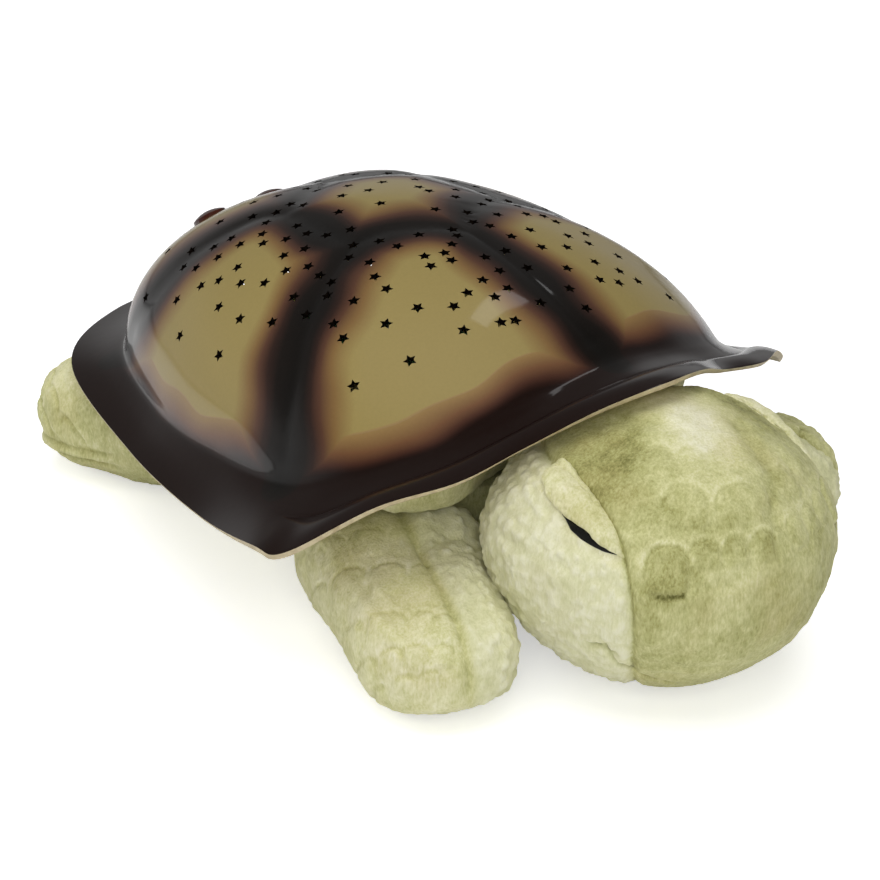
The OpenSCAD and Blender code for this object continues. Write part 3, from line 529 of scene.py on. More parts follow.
def shellMaterial():
    # ABS, injection moulded and polished, airbrushed by hand and lacquered: soft paint edges under clear gloss
    mat = newMaterial("absAirbrushedLacquer")
    place = addNode(mat, "ShaderNodeTexCoord").outputs["Object"]
    # the spray drifts in clouds 25 mm wide, in droplets of 1 mm, and the lacquer ripples at 4 mm
    drift = addNode(mat, "ShaderNodeTexNoise", {"Vector": place, "Scale": 38.0, "Detail": 0.0})
    droplets = addNode(mat, "ShaderNodeTexNoise", {"Vector": place, "Scale": 900.0, "Detail": 2.0})
    ripple = addNode(mat, "ShaderNodeTexNoise", {"Vector": place, "Scale": 260.0, "Detail": 1.0})
    sway = addNode(mat, "ShaderNodeMath", {0: drift.outputs["Fac"], 1: 0.5}, operation="SUBTRACT")
    swayMm = addNode(mat, "ShaderNodeMath", {0: sway.outputs[0], 1: 12.0}, operation="MULTIPLY").outputs[0]
    # the bands along the scutes' borders, then the skirt up from the dome's foot; both reach 30 mm
    sprayed = []
    for gap, stops in (("seamGap", [(0.0, "#0d0a07"), (0.2, "#130d09"), (0.33, "#2b1a14"), (0.47, "#523526"),
                                    (0.64, "#7c5f38"), (0.88, "#968550")]),
                       ("footGap", [(0.0, "#190d09"), (0.05, "#2a1711"), (0.12, "#472b1f"), (0.25, "#6c4a30"),
                                    (0.46, "#8d7145"), (0.85, "#ffffff")])):
        gapMm = addNode(mat, "ShaderNodeAttribute", attribute_name=gap).outputs["Fac"]
        swayed = addNode(mat, "ShaderNodeMath", {0: gapMm, 1: swayMm}, operation="ADD")
        share = addNode(mat, "ShaderNodeMath", {0: swayed.outputs[0], 1: 30.0}, operation="DIVIDE")
        shade = addNode(mat, "ShaderNodeValToRGB", {"Fac": share.outputs[0]})
        setRamp(shade, stops)
        sprayed.append(shade.outputs["Color"])
    paint = addNode(mat, "ShaderNodeMix", {"Factor": 1.0, 6: sprayed[0], 7: sprayed[1]},
                    data_type="RGBA", blend_type="DARKEN")
    speck = addNode(mat, "ShaderNodeMapRange", {
        "Value": droplets.outputs["Fac"], "To Min": 0.94, "To Max": 1.05})
    lit = addNode(mat, "ShaderNodeVectorMath", {0: paint.outputs[2], "Scale": speck.outputs[0]},
                  operation="SCALE")
    bump = addNode(mat, "ShaderNodeBump", {
        "Height": ripple.outputs["Fac"], "Strength": 0.03, "Distance": 0.001})
    finishMaterial(mat, addNode(mat, "ShaderNodeBsdfPrincipled", {
        "Base Color": lit.outputs[0], "Roughness": 0.4, "Specular IOR Level": 0.25, "IOR": 1.5,
        "Coat Weight": 0.85, "Coat Roughness": 0.07, "Normal": bump.outputs[0]}))
    return mat


def bareMaterial():
    # the same ABS unpainted: cream, satin from the mould, with faint scuffs of 3 mm
    return patternMaterial("absCreamBare", [(0.3, "#b3a27f"), (0.6, "#cdbf9d")], {"Roughness": 0.5},
                           {"Scale": 320.0, "Detail": 3.0}, relief=(0.15, 0.0004))


def holeWallMaterial():
    # the same ABS where the brown spray ran into the holes, dull, and painted nearly black for the shade
    # inside them
    return patternMaterial("absHoleWallSprayedShade", [(0.3, "#0b0806"), (0.7, "#17100b")],
                           {"Roughness": 0.75, "Specular IOR Level": 0.2}, {"Scale": 400.0, "Detail": 1.0})


holeWallPaintAndShade = holeWallMaterial()


def makeShell():
    body, borders, rows = buildShell()
    body.data.materials.append(shellMaterial())
    body.data.materials.append(bareMaterial())
    cutWith(body, buildStarPunch())
    holes = []
    tilt, z0, roundR = rowPlace()
    for k in (-1, 0, 1):
        x = k * buttonRow["pitch"]
        drop = roundR - math.sqrt(roundR ** 2 - x ** 2)
        bpy.ops.object.select_all(action="DESELECT")
        bpy.ops.mesh.primitive_cylinder_add(vertices=64, radius=(buttonRow["capR"] + buttonRow["gap"]) * mm,
                                            depth=buttonRow["holeTall"] * mm)
        hole = bpy.context.object
        place = (Matrix.Translation(Vector((0, buttonRow["y"], z0)) * mm) @ Matrix.Rotation(-tilt, 4, "X")
                 @ Matrix.Translation(Vector((x, 0, -drop)) * mm))
        hole.data.transform(place)
        hole.data.materials.append(holeWallPaintAndShade)
        holes.append(hole)
    pickOnly(*holes)
    bpy.ops.object.join()
    cutWith(body, bpy.context.object)
    pickOnly(body)
    bpy.ops.object.mode_set(mode="EDIT")
    bpy.ops.mesh.select_all(action="SELECT")
    bpy.ops.mesh.remove_doubles(threshold=0.000004)
    bpy.ops.mesh.dissolve_degenerate(threshold=0.000004)
    bpy.ops.object.mode_set(mode="OBJECT")
    bpy.ops.object.shade_smooth_by_angle(angle=math.radians(shell["smoothAngle"]))
    paintShell(body, borders, rows)
    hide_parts("carapace")
    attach(body, "turtle")
    return body


def rowPlace():
    # the buttons' row on the dome: its tilt, its height in the middle, and how round it runs
    rearReach = shell["footRear"] - shell["crownY"]
    rearRise = shell["crownH"] - shell["footTailH"]
    turned = math.acos((buttonRow["y"] - shell["crownY"]) / rearReach)
    z = shell["footTailH"] + rearRise * math.sin(turned)
    slopeY = (buttonRow["y"] - shell["crownY"]) / rearReach ** 2
    slopeZ = (z - shell["footTailH"]) / rearRise ** 2
    halfWidth = buttonRow["spread"] * shell["footHalfW"]
    return math.atan2(slopeY, slopeZ), z, halfWidth ** 2 * math.hypot(slopeY, slopeZ)


def paintShell(obj, borders, rows):
    co = getPoints(obj) / mm
    seam = np.min([nearLine(co, line) for line in borders], axis=0)
    # distance above the foot, along the meridian, read from the three nearest points of the outside rows
    count = shell["domeRows"]
    steps = np.linalg.norm(np.diff(rows, axis=0), axis=2)
    climbed = np.zeros(rows.shape[:2])
    for k in range(count - 1, -1, -1):
        climbed[k] = climbed[k + 1] + steps[k]
    for k in range(count + 1, len(rows)):
        climbed[k] = climbed[k - 1] - steps[k - 1]
    flat = rows.reshape(-1, 3)
    tree = KDTree(len(flat))
    for i, p in enumerate(flat):
        tree.insert(p, i)
    tree.balance()
    above = climbed.ravel()
    foot = np.zeros(len(co))
    for i, p in enumerate(co):
        near = tree.find_n(p, 3)
        share = np.array([1 / (d + 0.05) for _, _, d in near])
        foot[i] = (share * [above[j] for _, j, _ in near]).sum() / share.sum()
    # the spray bands spread wider low down
    setAttribute(obj, "seamGap", seam * (0.86 + 0.3 * rise(co[:, 2], 70, 130)))
    setAttribute(obj, "footGap", foot)


shellPiece = makeShell()
print("stage: shell,", len(shellPiece.data.polygons), "faces")


# ---- cloth and small-part materials

def plushMaterial():
    # polyester plush, short cut pile: each patch of nap lies its own way, so tones shift and the edges glow
    mat = newMaterial("polyesterPlushCutPile")
    place = addNode(mat, "ShaderNodeTexCoord").outputs["Object"]
    # brushed patches 18 mm wide, locks of pile 4 mm wide, and fibres, drawn 0.9 mm wide so that they show
    clouds = addNode(mat, "ShaderNodeTexNoise", {
        "Vector": place, "Scale": 55.0, "Detail": 3.0, "Roughness": 0.6})
    locks = addNode(mat, "ShaderNodeTexNoise", {
        "Vector": place, "Scale": 230.0, "Detail": 3.0, "Roughness": 0.65})
    combed = addNode(mat, "ShaderNodeMapping", {
        "Vector": place, "Scale": (1.0, 1.0, 0.28), "Rotation": (0.5, 0.2, 0.3)})
    fibres = addNode(mat, "ShaderNodeTexNoise", {
        "Vector": combed.outputs[0], "Scale": 1150.0, "Detail": 2.0, "Roughness": 0.7})
    # the pile's tone: 0.55 in the middle, moved by each pattern, by how the nap lies together with painted
    # shade and highlights, and by how pale it is, painted light included
    level = 0.55
    for pattern, most in ((clouds, 0.10), (locks, 0.09), (fibres, 0.11)):
        share = addNode(mat, "ShaderNodeMapRange", {
            "Value": pattern.outputs["Fac"], "From Min": 0.3, "From Max": 0.7, "To Min": -most,
            "To Max": most})
        level = addNode(mat, "ShaderNodeMath", {0: level, 1: share.outputs[0]}, operation="ADD").outputs[0]
    for name, weight in (("napAndShadeTone", 0.42), ("pale", 0.36)):
        mark = addNode(mat, "ShaderNodeAttribute", attribute_name=name)
        share = addNode(mat, "ShaderNodeMath", {0: mark.outputs["Fac"], 1: weight}, operation="MULTIPLY")
        level = addNode(mat, "ShaderNodeMath", {0: level, 1: share.outputs[0]}, operation="ADD").outputs[0]
    pile = addNode(mat, "ShaderNodeValToRGB", {"Fac": level})
    setRamp(pile, [(0.0, "#4d4a28"), (0.2, "#7e7c47"), (0.38, "#a4a268"), (0.52, "#bab981"), (0.68, "#cfcd98"),
                   (0.85, "#e0ddb4"), (1.0, "#ece9cc")])
    # a little warm brown in patches of 30 mm, and a cooler, paler tone where the pile is nubby
    warm = addNode(mat, "ShaderNodeTexNoise", {"Vector": place, "Scale": 34.0, "Detail": 2.0})
    warmth = addNode(mat, "ShaderNodeMapRange", {
        "Value": warm.outputs["Fac"], "From Min": 0.5, "From Max": 0.72, "To Min": 0.0, "To Max": 0.16})
    tint = addNode(mat, "ShaderNodeMix", {
        "Factor": warmth.outputs[0], 6: pile.outputs["Color"], 7: toLinear("#b59a62")}, data_type="RGBA")
    nubby = addNode(mat, "ShaderNodeAttribute", attribute_name="nubby")
    coolness = addNode(mat, "ShaderNodeMath", {0: nubby.outputs["Fac"], 1: 0.35}, operation="MULTIPLY")
    cool = addNode(mat, "ShaderNodeMix", {
        "Factor": coolness.outputs[0], 6: tint.outputs[2], 7: toLinear("#d9dab9")}, data_type="RGBA")
    fine = addNode(mat, "ShaderNodeMath", {0: fibres.outputs["Fac"], 1: 0.6}, operation="MULTIPLY")
    coarse = addNode(mat, "ShaderNodeMath", {0: locks.outputs["Fac"], 1: 0.8}, operation="MULTIPLY")
    lift = addNode(mat, "ShaderNodeMath", {0: fine.outputs[0], 1: coarse.outputs[0]}, operation="ADD")
    bump = addNode(mat, "ShaderNodeBump", {"Height": lift.outputs[0], "Strength": 0.75, "Distance": 0.0007})
    shader = addNode(mat, "ShaderNodeBsdfPrincipled", {
        "Base Color": cool.outputs[2], "Roughness": 0.92, "Specular IOR Level": 0.2, "Sheen Weight": 0.22,
        "Sheen Roughness": 0.45, "Sheen Tint": toLinear("#f2efd2"), "Normal": bump.outputs[0]})
    finishMaterial(mat, shader)
    return mat


def satinMaterial():
    # polyester satin: near black, with a soft gloss, and threads drawn 0.6 mm wide
    return patternMaterial("polyesterSatinBlack", [(0.3, "#0c0c0b"), (0.7, "#1b1b19")],
                           {"Roughness": 0.5, "Specular IOR Level": 0.35}, {"Scale": 1600.0, "Detail": 2.0},
                           relief=(0.2, 0.0002))


def mouldedMaterial(name, dark, light, rough, grainMm=0.8, depth=0.12, coat=0.0):
    # moulded plastic: a fine even grain, and a faint drift of tone from the flow of the melt, 16 mm wide
    return patternMaterial(name, [(0.3, dark), (0.7, light)],
                           {"IOR": 1.5, "Coat Weight": coat, "Coat Roughness": 0.08},
                           {"Scale": 60.0, "Detail": 2.0}, {"Scale": 1000.0 / grainMm, "Detail": 2.0},
                           (rough * 0.85, rough * 1.15), (depth, 0.0003))


def metalMaterial(name, dark, light, rough, streak=(1.0, 1.0, 1.0), sizeMm=0.7):
    # plated or drawn metal: small changes of tone and fine marks, drawn out by streak
    return patternMaterial(name, [(0.3, dark), (0.7, light)], {"Metallic": 1.0},
                           {"Scale": 1000.0 / sizeMm, "Detail": 3.0}, None, (rough * 0.7, rough * 1.3),
                           (0.1, 0.0002), streak)


def lensMaterial(name, shade):
    # epoxy lens of a light: clear, tinted, cast smooth, with a faint haze of 2 mm
    return patternMaterial(name, [(0.2, shade), (0.9, "#ffffff")],
                           {"Roughness": 0.12, "IOR": 1.54, "Transmission Weight": 0.55},
                           {"Scale": 500.0, "Detail": 1.0})


def tapeMaterial(name, dark, light):
    # nylon woven tape with a bed of hooks or loops: rows of tufts about 1.4 mm apart
    return patternMaterial(name, [(0.1, light), (0.65, dark)], {"Roughness": 0.85},
                           {"Scale": 700.0, "Randomness": 0.35}, relief=(0.8, 0.0005),
                           kind="ShaderNodeTexVoronoi", read="Distance", deep=True)


def boardMaterial():
    # glass-epoxy board under green solder mask: satin, with the copper's tracks, 3 mm apart, just showing
    return patternMaterial("solderMaskGreen", [(0.4, "#12452b"), (0.55, "#1f6a40")],
                           {"Roughness": 0.35, "Coat Weight": 0.3},
                           {"Scale": 95.0, "Distortion": 7.0, "Detail": 0.0}, relief=(0.15, 0.0002),
                           kind="ShaderNodeTexWave", wave_type="BANDS", bands_direction="X")


def dress(nodes, mat):
    # the solid stays as it is and takes a finished material
    for name in nodes:
        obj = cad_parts[name]
        if not obj.material_slots:
            obj.data.materials.append(mat)
        for place in obj.material_slots:
            place.material = mat


plushCloth = plushMaterial()
satinCloth = satinMaterial()
finishes = [                   # each finish, and the solids that take it
    (mouldedMaterial("absButtonBrown", "#3b1c14", "#4a261b", 0.24, 0.9, 0.08, coat=0.5),
     ("button_left", "button_middle", "button_right")),
    (mouldedMaterial("absCreamMoulded", "#cfc6a4", "#d9d1b2", 0.5), ("base_plate", "battery_door")),
    (mouldedMaterial("pomBlackMoulded", "#161616", "#222222", 0.42),
     ("tact_switches", "plunger_left", "plunger_middle", "plunger_right")),
    (mouldedMaterial("pvcRedInsulation", "#7d1f1a", "#93271f", 0.45), ("battery_leads",)),
    (mouldedMaterial("pvcGreyRibbon", "#74777a", "#85888b", 0.5, 1.27), ("button_ribbon",)),
    (mouldedMaterial("shrinkSleeveGreen", "#24573a", "#2f6c49", 0.32, 1.5, 0.06, coat=0.4),
     ("battery_1", "battery_2", "battery_3")),
    (metalMaterial("steelZincPlated", "#9c9c98", "#b9b9b4", 0.34),
     ("door_screw", "board_screws", "button_board_screws", "shell_screws")),
    (metalMaterial("springSteelNickelled", "#a8a79e", "#c6c4ba", 0.24, (1.0, 0.2, 1.0)),
     ("contact_plates", "contact_springs")),
    (boardMaterial(), ("main_board", "button_board")),
    (lensMaterial("epoxyLensAmber", "#d98a2b"), ("led_amber",)),
    (lensMaterial("epoxyLensGreen", "#4fae5c"), ("led_green",)),
    (lensMaterial("epoxyLensBlue", "#3c6fc4"), ("led_blue",)),
    (tapeMaterial("nylonHookTape", "#5c5e42", "#8a8c68"), ("hook_strip",)),
    (tapeMaterial("nylonLoopTape", "#6d6f50", "#a0a27c"), ("loop_strip",)),
]
for mat, nodes in finishes:
    dress(nodes, mat)
print("stage: materials,", len(bpy.data.materials))


# ---- stuffed pieces: a copy of each solid is remeshed, blown up between its pinned seams, then embossed

plush = {"voxel": 4.5, "sunk": 1.4, "pressure": 4.0, "frames": 20, "swell": 2.6, "rounds": 2, "pile": 0.16,
         "pileMm": 2.6, "floor": 0.35}


def waveNoise(co, size, seed, waves=18):
    # soft lumps about size mm across, made of crossed waves, from -1 to 1
    spread = np.random.default_rng(seed)
    total = np.zeros(len(co))
    for _ in range(waves):
        way = spread.normal(size=3)
        way /= np.linalg.norm(way)
        total += np.cos(co @ way * 2 * math.pi / (size * spread.uniform(0.7, 1.5)) + spread.uniform(0, 6.28))
    return np.clip(total / math.sqrt(waves), -1.6, 1.6) / 1.2


def nubs(co, size, seed):
    # the curled tufts of a nubby pile: 1 on the top of a tuft, 0 between tufts
    cell = np.floor(co / size)
    nearest = np.full(len(co), 9.0)
    turnBy = np.array([[127.1, 269.5, 419.2], [311.7, 183.3, 371.9], [74.7, 246.1, 168.2]])
    for dx in (-1, 0, 1):
        for dy in (-1, 0, 1):
            for dz in (-1, 0, 1):
                home = cell + (dx, dy, dz)
                mixed = np.sin(home @ turnBy + seed) * 43758.5453
                centre = (home + 0.5 + (mixed - np.floor(mixed) - 0.5) * 0.8) * size
                nearest = np.minimum(nearest, np.linalg.norm(co - centre, axis=1) / size)
    return 1 - rise(nearest, 0.12, 0.72)


def dentAt(distance, depth, width):
    return -depth * np.exp(-(distance / width) ** 2)


def plateShape(x, y, halfW, halfH):
    # a scale with a round top and squarer foot: distance outside its outline, in mm, negative inside
    corner = np.where(y > 0, 0.85, 0.35) * min(halfW, halfH)
    qx, qy = np.abs(x) - (halfW - corner), np.abs(y) - (halfH - corner)
    return np.hypot(np.maximum(qx, 0), np.maximum(qy, 0)) + np.minimum(np.maximum(qx, qy), 0) - corner


def softCopy(node, name, voxel):
    obj = bpy.data.objects.new(name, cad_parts[node].data.copy())
    obj.data.name = name
    scene.collection.objects.link(obj)
    obj.data.materials.clear()
    cleanMesh(obj, 0.01)
    remeshAt(obj, voxel)
    return obj


def remeshAt(obj, voxel):
    pickOnly(obj)
    obj.data.remesh_voxel_size = voxel * mm
    bpy.ops.object.voxel_remesh()


def stuff(obj, seams, swell):
    # cloth under a little pressure, pinned where it is sewn, and held to the swell it may have
    start = getPoints(obj)
    sunk = start - getNormals(obj) * plush["sunk"] * mm
    setPoints(obj, sunk)
    sewn = obj.vertex_groups.new(name="sewn")
    near = np.min([nearLine(sunk / mm, line) for line in seams], axis=0)
    for i in np.nonzero(near < plush["voxel"] * 0.75)[0]:
        sewn.add([int(i)], 1.0, "REPLACE")
    mod = obj.modifiers.new("stuffing", "CLOTH")
    mod.settings.use_pressure = True
    mod.settings.uniform_pressure_force = plush["pressure"]
    mod.settings.effector_weights.gravity = 0
    mod.settings.vertex_group_mass = "sewn"
    for k in range(1, plush["frames"] + 1):
        scene.frame_set(k)
    applyAll(obj)
    scene.frame_set(1)
    move = getPoints(obj) - sunk
    size = np.linalg.norm(move, axis=1)
    most = (swell + plush["sunk"]) * mm
    setPoints(obj, sunk + move * np.minimum(1, most / np.maximum(size, 1e-9))[:, None])


def refine(obj, rounds):
    mod = obj.modifiers.new("fine", "SUBSURF")
    mod.levels = mod.render_levels = rounds
    applyAll(obj)
    for poly in obj.data.polygons:
        poly.use_smooth = True


def fillOut(obj, node):
    # the cloth's corners draw in: points that fell inside the solid's outline go back to it, and are eased
    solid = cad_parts[node].data
    corners, faces = [v.co.copy() for v in solid.vertices], [tuple(p.vertices) for p in solid.polygons]
    tree = BVHTree.FromPolygons(corners, faces)
    co = getPoints(obj)
    out = co.copy()
    for i, p in enumerate(co):
        near, normal, _, gap = tree.find_nearest(Vector(p))
        if gap and (Vector(p) - near).dot(normal) < 0:
            out[i] = np.array(near)
    setPoints(obj, out)
    ease(obj, 5)


def pileOf(co, seed):
    # the locks of the pile itself, in mm
    return plush["pile"] * waveNoise(co, plush["pileMm"], seed)


def paintCloth(obj, tone, nubby, pale):
    # how the nap lies together with painted shade and highlights, where the pile is nubby, and how pale it is,
    # painted light included
    for name, values in (("napAndShadeTone", tone), ("nubby", nubby), ("pale", pale)):
        setAttribute(obj, name, np.broadcast_to(values, len(obj.data.vertices)))


def emboss(obj, height, floor=True):
    co = getPoints(obj) + getNormals(obj) * np.asarray(height)[:, None] * mm
    if floor:
        co[:, 2] = np.maximum(co[:, 2], plush["floor"] * mm)
    setPoints(obj, co)


# head: a ball of two cloths, short pile on the crown and a nubby pile on each cheek

head = {
    # lines on it are given by turn and lift, in degrees
    "centre": (0, -130.6, 50.9), "radii": (61, 61, 50.9), "perTurn": 1.065, "perLift": 0.95,   # mm per degree
    "cheekSeam": [(150, 41), (130, 43.5), (109.9, 45.2), (90.8, 44.7), (81, 42), (72.6, 38.1), (62.5, 29.2),
                  (59.3, 20.8), (55.8, 8.1), (54.6, -9.2), (55.2, -26), (56.8, -43.7), (58, -62), (60, -86)],
    "seamTurns": ([-90, -43.7, -9.2, 8.1, 20.8, 29.2, 38.1, 44.7],
                  [58, 56.8, 54.6, 55.8, 59.3, 62.5, 72.6, 91]), "cheekTop": 44.5,
    "lidUpper": [(102.3, 37.9), (106.5, 44.4), (101, 47.6), (83.7, 43.2), (72.0, 37.3), (63.5, 29.6),
                 (60, 21.6)],
    "lidLower": [(102.3, 37.9), (97.6, 34.4), (91.0, 31.5), (85.7, 30.2), (76.8, 28.2), (67.5, 24.2),
                 (60, 21.6)],
    "slitUpper": [(87.8, 30.6), (81.9, 29.9), (77.1, 29.2), (72.6, 27.9), (68.2, 25.6), (62.2, 22.4)],
    "slitLower": [(87.8, 30.6), (83.6, 27.6), (78.3, 25.1), (73.0, 23.6), (67.7, 22.5), (62.2, 22.4)],
    "lidMiddle": [(97, 38), (85, 36), (73, 31), (62, 24)], "eyeCorner": (60, 20.5), "darkPatch": (79, 60),
    "frown": [(-40, 66), (-30, 64), (-20, 57), (-13, 48), (-5, 40), (0, 33)],
    "nostril": [(47.1, 10), (43, 10.3), (39, 11.1)],
    "mouth": [[(70, -17), (65, -17.5), (61, -19)], [(64, -16), (58, -30), (50, -38), (40, -42)]],
    # turn, half width, lowest and highest lift, relief
    "scales": [(44.3, 7.3, 10.6, 29.1, 0.7), (30.9, 5.6, 19.6, 31, 0.45), (19.5, 4.6, 19, 31, 0.38),
               (8.6, 4.8, 18, 30.5, 0.34), (37.5, 9.6, 34.5, 51.5, 0.3), (13.8, 10.6, 33.5, 48.5, 0.3),
               (29, 9.5, 54.5, 66, 0.2), (52.5, 8.5, 55, 66, 0.2)],
    # spots that are paler, partly painted light: turn, lift, width in mm, and how much paler; a minus turn is
    # on the left
    "paleAndLitSpots": [(-60, 80, 18, 0.95), (12, 74, 15, 0.35), (42, 66, 12, 0.35), (-28, 44, 11, 0.12),
                  (-8, 26, 10, 0.16), (52, 47, 8, 0.12), (24, 8, 10, 0.10)],
}


def onHead(turned, lifted, out=0.0, side=-1):
    t, f = math.radians(turned), math.radians(lifted)
    way = np.array([side * math.sin(t) * math.cos(f), -math.cos(t) * math.cos(f), math.sin(f)])
    return np.array(head["centre"]) + way * (np.array(head["radii"]) + out)


def headLine(points):
    return [onHead(*curveThrough(points, t)) for t in np.linspace(0, 1, 24)]


def makeHead():
    obj = softCopy("head", "headBall", plush["voxel"])
    lines = {key: headLine(head[key]) for key in ("cheekSeam", "slitUpper", "slitLower", "nostril")}
    bothSeams = [lines["cheekSeam"], [p * (-1, 1, 1) for p in lines["cheekSeam"]]]
    stuff(obj, bothSeams, plush["swell"])
    refine(obj, plush["rounds"])
    fillOut(obj, "head")
    co = getPoints(obj) / mm
    right = co.copy()
    right[:, 0] = -np.abs(co[:, 0])
    way = (right - head["centre"]) / head["radii"]
    turned = np.degrees(np.arctan2(-way[:, 0], -way[:, 1]))
    lifted = np.degrees(np.arcsin(np.clip(way[:, 2] / np.linalg.norm(way, axis=1), -1, 1)))
    turnedRight = np.degrees(np.arctan2(-co[:, 0] / head["radii"][0], -way[:, 1]))
    # the full cheeks that push out beside the neck
    height = 6.2 * np.exp(-((turned - 114) / 21) ** 2 - ((lifted - 14) / 26) ** 2)
    inCheek = (turned > np.interp(lifted, *head["seamTurns"])) & (lifted < head["cheekTop"])
    fromSeam = nearLine(right, lines["cheekSeam"])
    cheek = rise(np.where(inCheek, fromSeam, -fromSeam), -0.7, 0.7)
    nubby = cheek * rise(nearLine(right, headLine(head["lidMiddle"])), 3, 6)
    # the seam sinks in, and its crease is painted in shade
    height += dentAt(fromSeam, 1.5, 2.4) + dentAt(fromSeam, 0.7, 0.8)
    tone = -0.55 * np.exp(-(fromSeam / 1.2) ** 2)
    # tufts on the cheeks, painted paler on top as a highlight and darker between as shade
    tuft = nubs(co, 3.9, 3.0)
    height += nubby * (tuft * 0.95 - 0.3 + 0.35 * waveNoise(co, 9, 5))
    tone += nubby * (0.45 * tuft - 0.2)
    # scales pressed into the crown's pile: darker inside where the nap is pressed, with a painted shadow in
    # the groove along each top and a painted highlight on the arch above it
    for centre, halfW, low, high, relief in head["scales"]:
        spread = math.cos(math.radians((low + high) / 2))
        x = (turned - centre) * head["perTurn"] * spread
        y = (lifted - (low + high) / 2) * head["perLift"]
        out = plateShape(x, y, halfW * head["perTurn"] * spread, (high - low) / 2 * head["perLift"])
        inside = 1 - rise(out, -2.2, 0.4)
        rim = np.exp(-(out / 0.8) ** 2)
        arch = np.exp(-((out - 1.3) / 1.0) ** 2) * rise(y, 0, 4)
        height += relief * inside + dentAt(out, relief * 0.95, 0.8)
        clear = 1 - 0.6 * rise(co[:, 0], -6, 6)
        tone += clear * (relief + 0.25) * (-0.28 * inside - 0.45 * rim * rise(y, -3, 3) + 0.5 * arch)
    # where the pile lies smooth it looks paler, and painted light brightens the head where the shell shades
    # it: over the top, and down the far side of the brow
    for spotTurn, spotLift, wide, more in head["paleAndLitSpots"]:
        gone = np.linalg.norm(co - onHead(spotTurn, spotLift), axis=1)
        tone += more * np.exp(-(gone / wide) ** 2)
    # soft furrow over the brow, painted in shade, and behind it a darker patch, partly nap pressed flat and
    # partly painted shade in its dent
    frown = nearLine(co, headLine(head["frown"]))
    height += dentAt(frown, 1.5, 4.2)
    tone += -0.28 * np.exp(-(frown / 3.5) ** 2)
    patch = np.linalg.norm(right - onHead(*head["darkPatch"]), axis=1)
    tone += -0.75 * np.exp(-(patch / 12) ** 2) - 0.25 * np.exp(-((patch - 17) / 7) ** 2)
    height += dentAt(patch, 1.0, 9)
    # nostrils, mouth, and the dip that the eye's slit lies in, its corner painted in shade
    nose = nearLine(right, lines["nostril"])
    height += dentAt(nose, 1.1, 1.0)
    tone += -1.0 * np.exp(-(nose / 0.6) ** 2)
    for crease in head["mouth"]:
        mouth = nearLine(right, headLine(crease))
        height += dentAt(mouth, 1.5, 1.2)
        tone += -1.3 * np.exp(-(mouth / 0.7) ** 2)
    slit = np.minimum(nearLine(right, lines["slitUpper"]), nearLine(right, lines["slitLower"]))
    height += dentAt(slit, 0.9, 2.0)
    corner = np.linalg.norm(right - onHead(*head["eyeCorner"]), axis=1)
    height += dentAt(corner, 1.2, 3.0)
    tone += -0.35 * np.exp(-(corner / 2.5) ** 2)
    # hands have squeezed it: wide soft dents, and the pile itself
    height += 0.9 * waveNoise(co, 42, 11) * (1 - nubby * 0.5) + 0.28 * waveNoise(co, 9, 12) + pileOf(co, 13)
    emboss(obj, height)
    # the upper front of the crown is painted paler, as painted light
    crownPaintedLight = np.exp(-((lifted - 62) / 16) ** 2 - ((turnedRight - 20) / 40) ** 2)
    paintCloth(obj, tone, nubby, cheek * 0.95 + 0.25 * crownPaintedLight)
    finishSoft(obj, "head", "head_group", plushCloth)
    return obj


def finishSoft(obj, node, body, mat):
    obj.data.materials.clear()
    obj.data.materials.append(mat)
    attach(obj, body)
    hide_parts(node)


def faceSpot(obj, turned, lifted, side):
    # where a line from the head's middle leaves its dressed surface
    middle = Vector(head["centre"]) * mm
    far = Vector(onHead(turned, lifted, 25, side)) * mm
    hit, place, normal, _ = obj.ray_cast(far, (middle - far).normalized())
    if not hit:
        return onHead(turned, lifted, 0, side), np.array((far - middle).normalized())
    return np.array(place) / mm, np.array(normal)


def crescent(ball, side, name, lines, count, across, over, under):
    # rings between two lines on the head, which go up over its surface and come back beneath it
    rings = []
    for k in range(count + 1):
        t = 0.004 + 0.992 * k / count      # the two tips stay open by a hair, and closeEnds fills them
        low, top = (curveThrough(head[line], t) for line in lines)
        ring = []
        for j in range(2 * across):
            s = min(j, 2 * across - j) / across
            place, normal = faceSpot(ball, *(low * (1 - s) + top * s), side)
            ring.append(place + normal * (over(s, t) if j <= across else under(t)))
        rings.append(ring)
    obj = rollSheet(name, rings)
    closeEnds(obj)
    return obj


def makeLid(ball, side, name, node):
    # a stuffed crescent over the eye, fullest at its back end, with two folds
    def full(t):
        return max(0.0, math.sin(math.pi * t ** 0.72)) ** 0.7

    def over(s, t):
        bulge = 3.6 * full(t) * max(0.0, math.sin(math.pi * (0.04 + 0.92 * s ** 0.85))) ** 0.55
        folds = math.exp(-((s - 0.2) / 0.045) ** 2) + 0.7 * math.exp(-((s - 0.36) / 0.04) ** 2)
        return bulge - 0.45 * full(t) * folds + 0.1

    obj = crescent(ball, side, name, ("lidLower", "lidUpper"), 44, 12, over, lambda t: -1.4 * full(t))
    refine(obj, 2)
    co = getPoints(obj) / mm
    emboss(obj, 0.22 * waveNoise(co, 7, 21) + 0.1 * waveNoise(co, 2.4, 22), floor=False)
    paintCloth(obj, 0.1 * waveNoise(co, 6, 23), 0.0, 0.62)
    finishSoft(obj, node, "head_group", plushCloth)


def closeEnds(obj):
    # fills the open first and last rings
    pickOnly(obj)
    bpy.ops.object.mode_set(mode="EDIT")
    bpy.ops.mesh.select_all(action="DESELECT")
    bpy.ops.mesh.select_non_manifold()
    bpy.ops.mesh.edge_face_add()
    bpy.ops.mesh.select_all(action="SELECT")
    bpy.ops.mesh.normals_make_consistent(inside=False)
    bpy.ops.object.mode_set(mode="OBJECT")


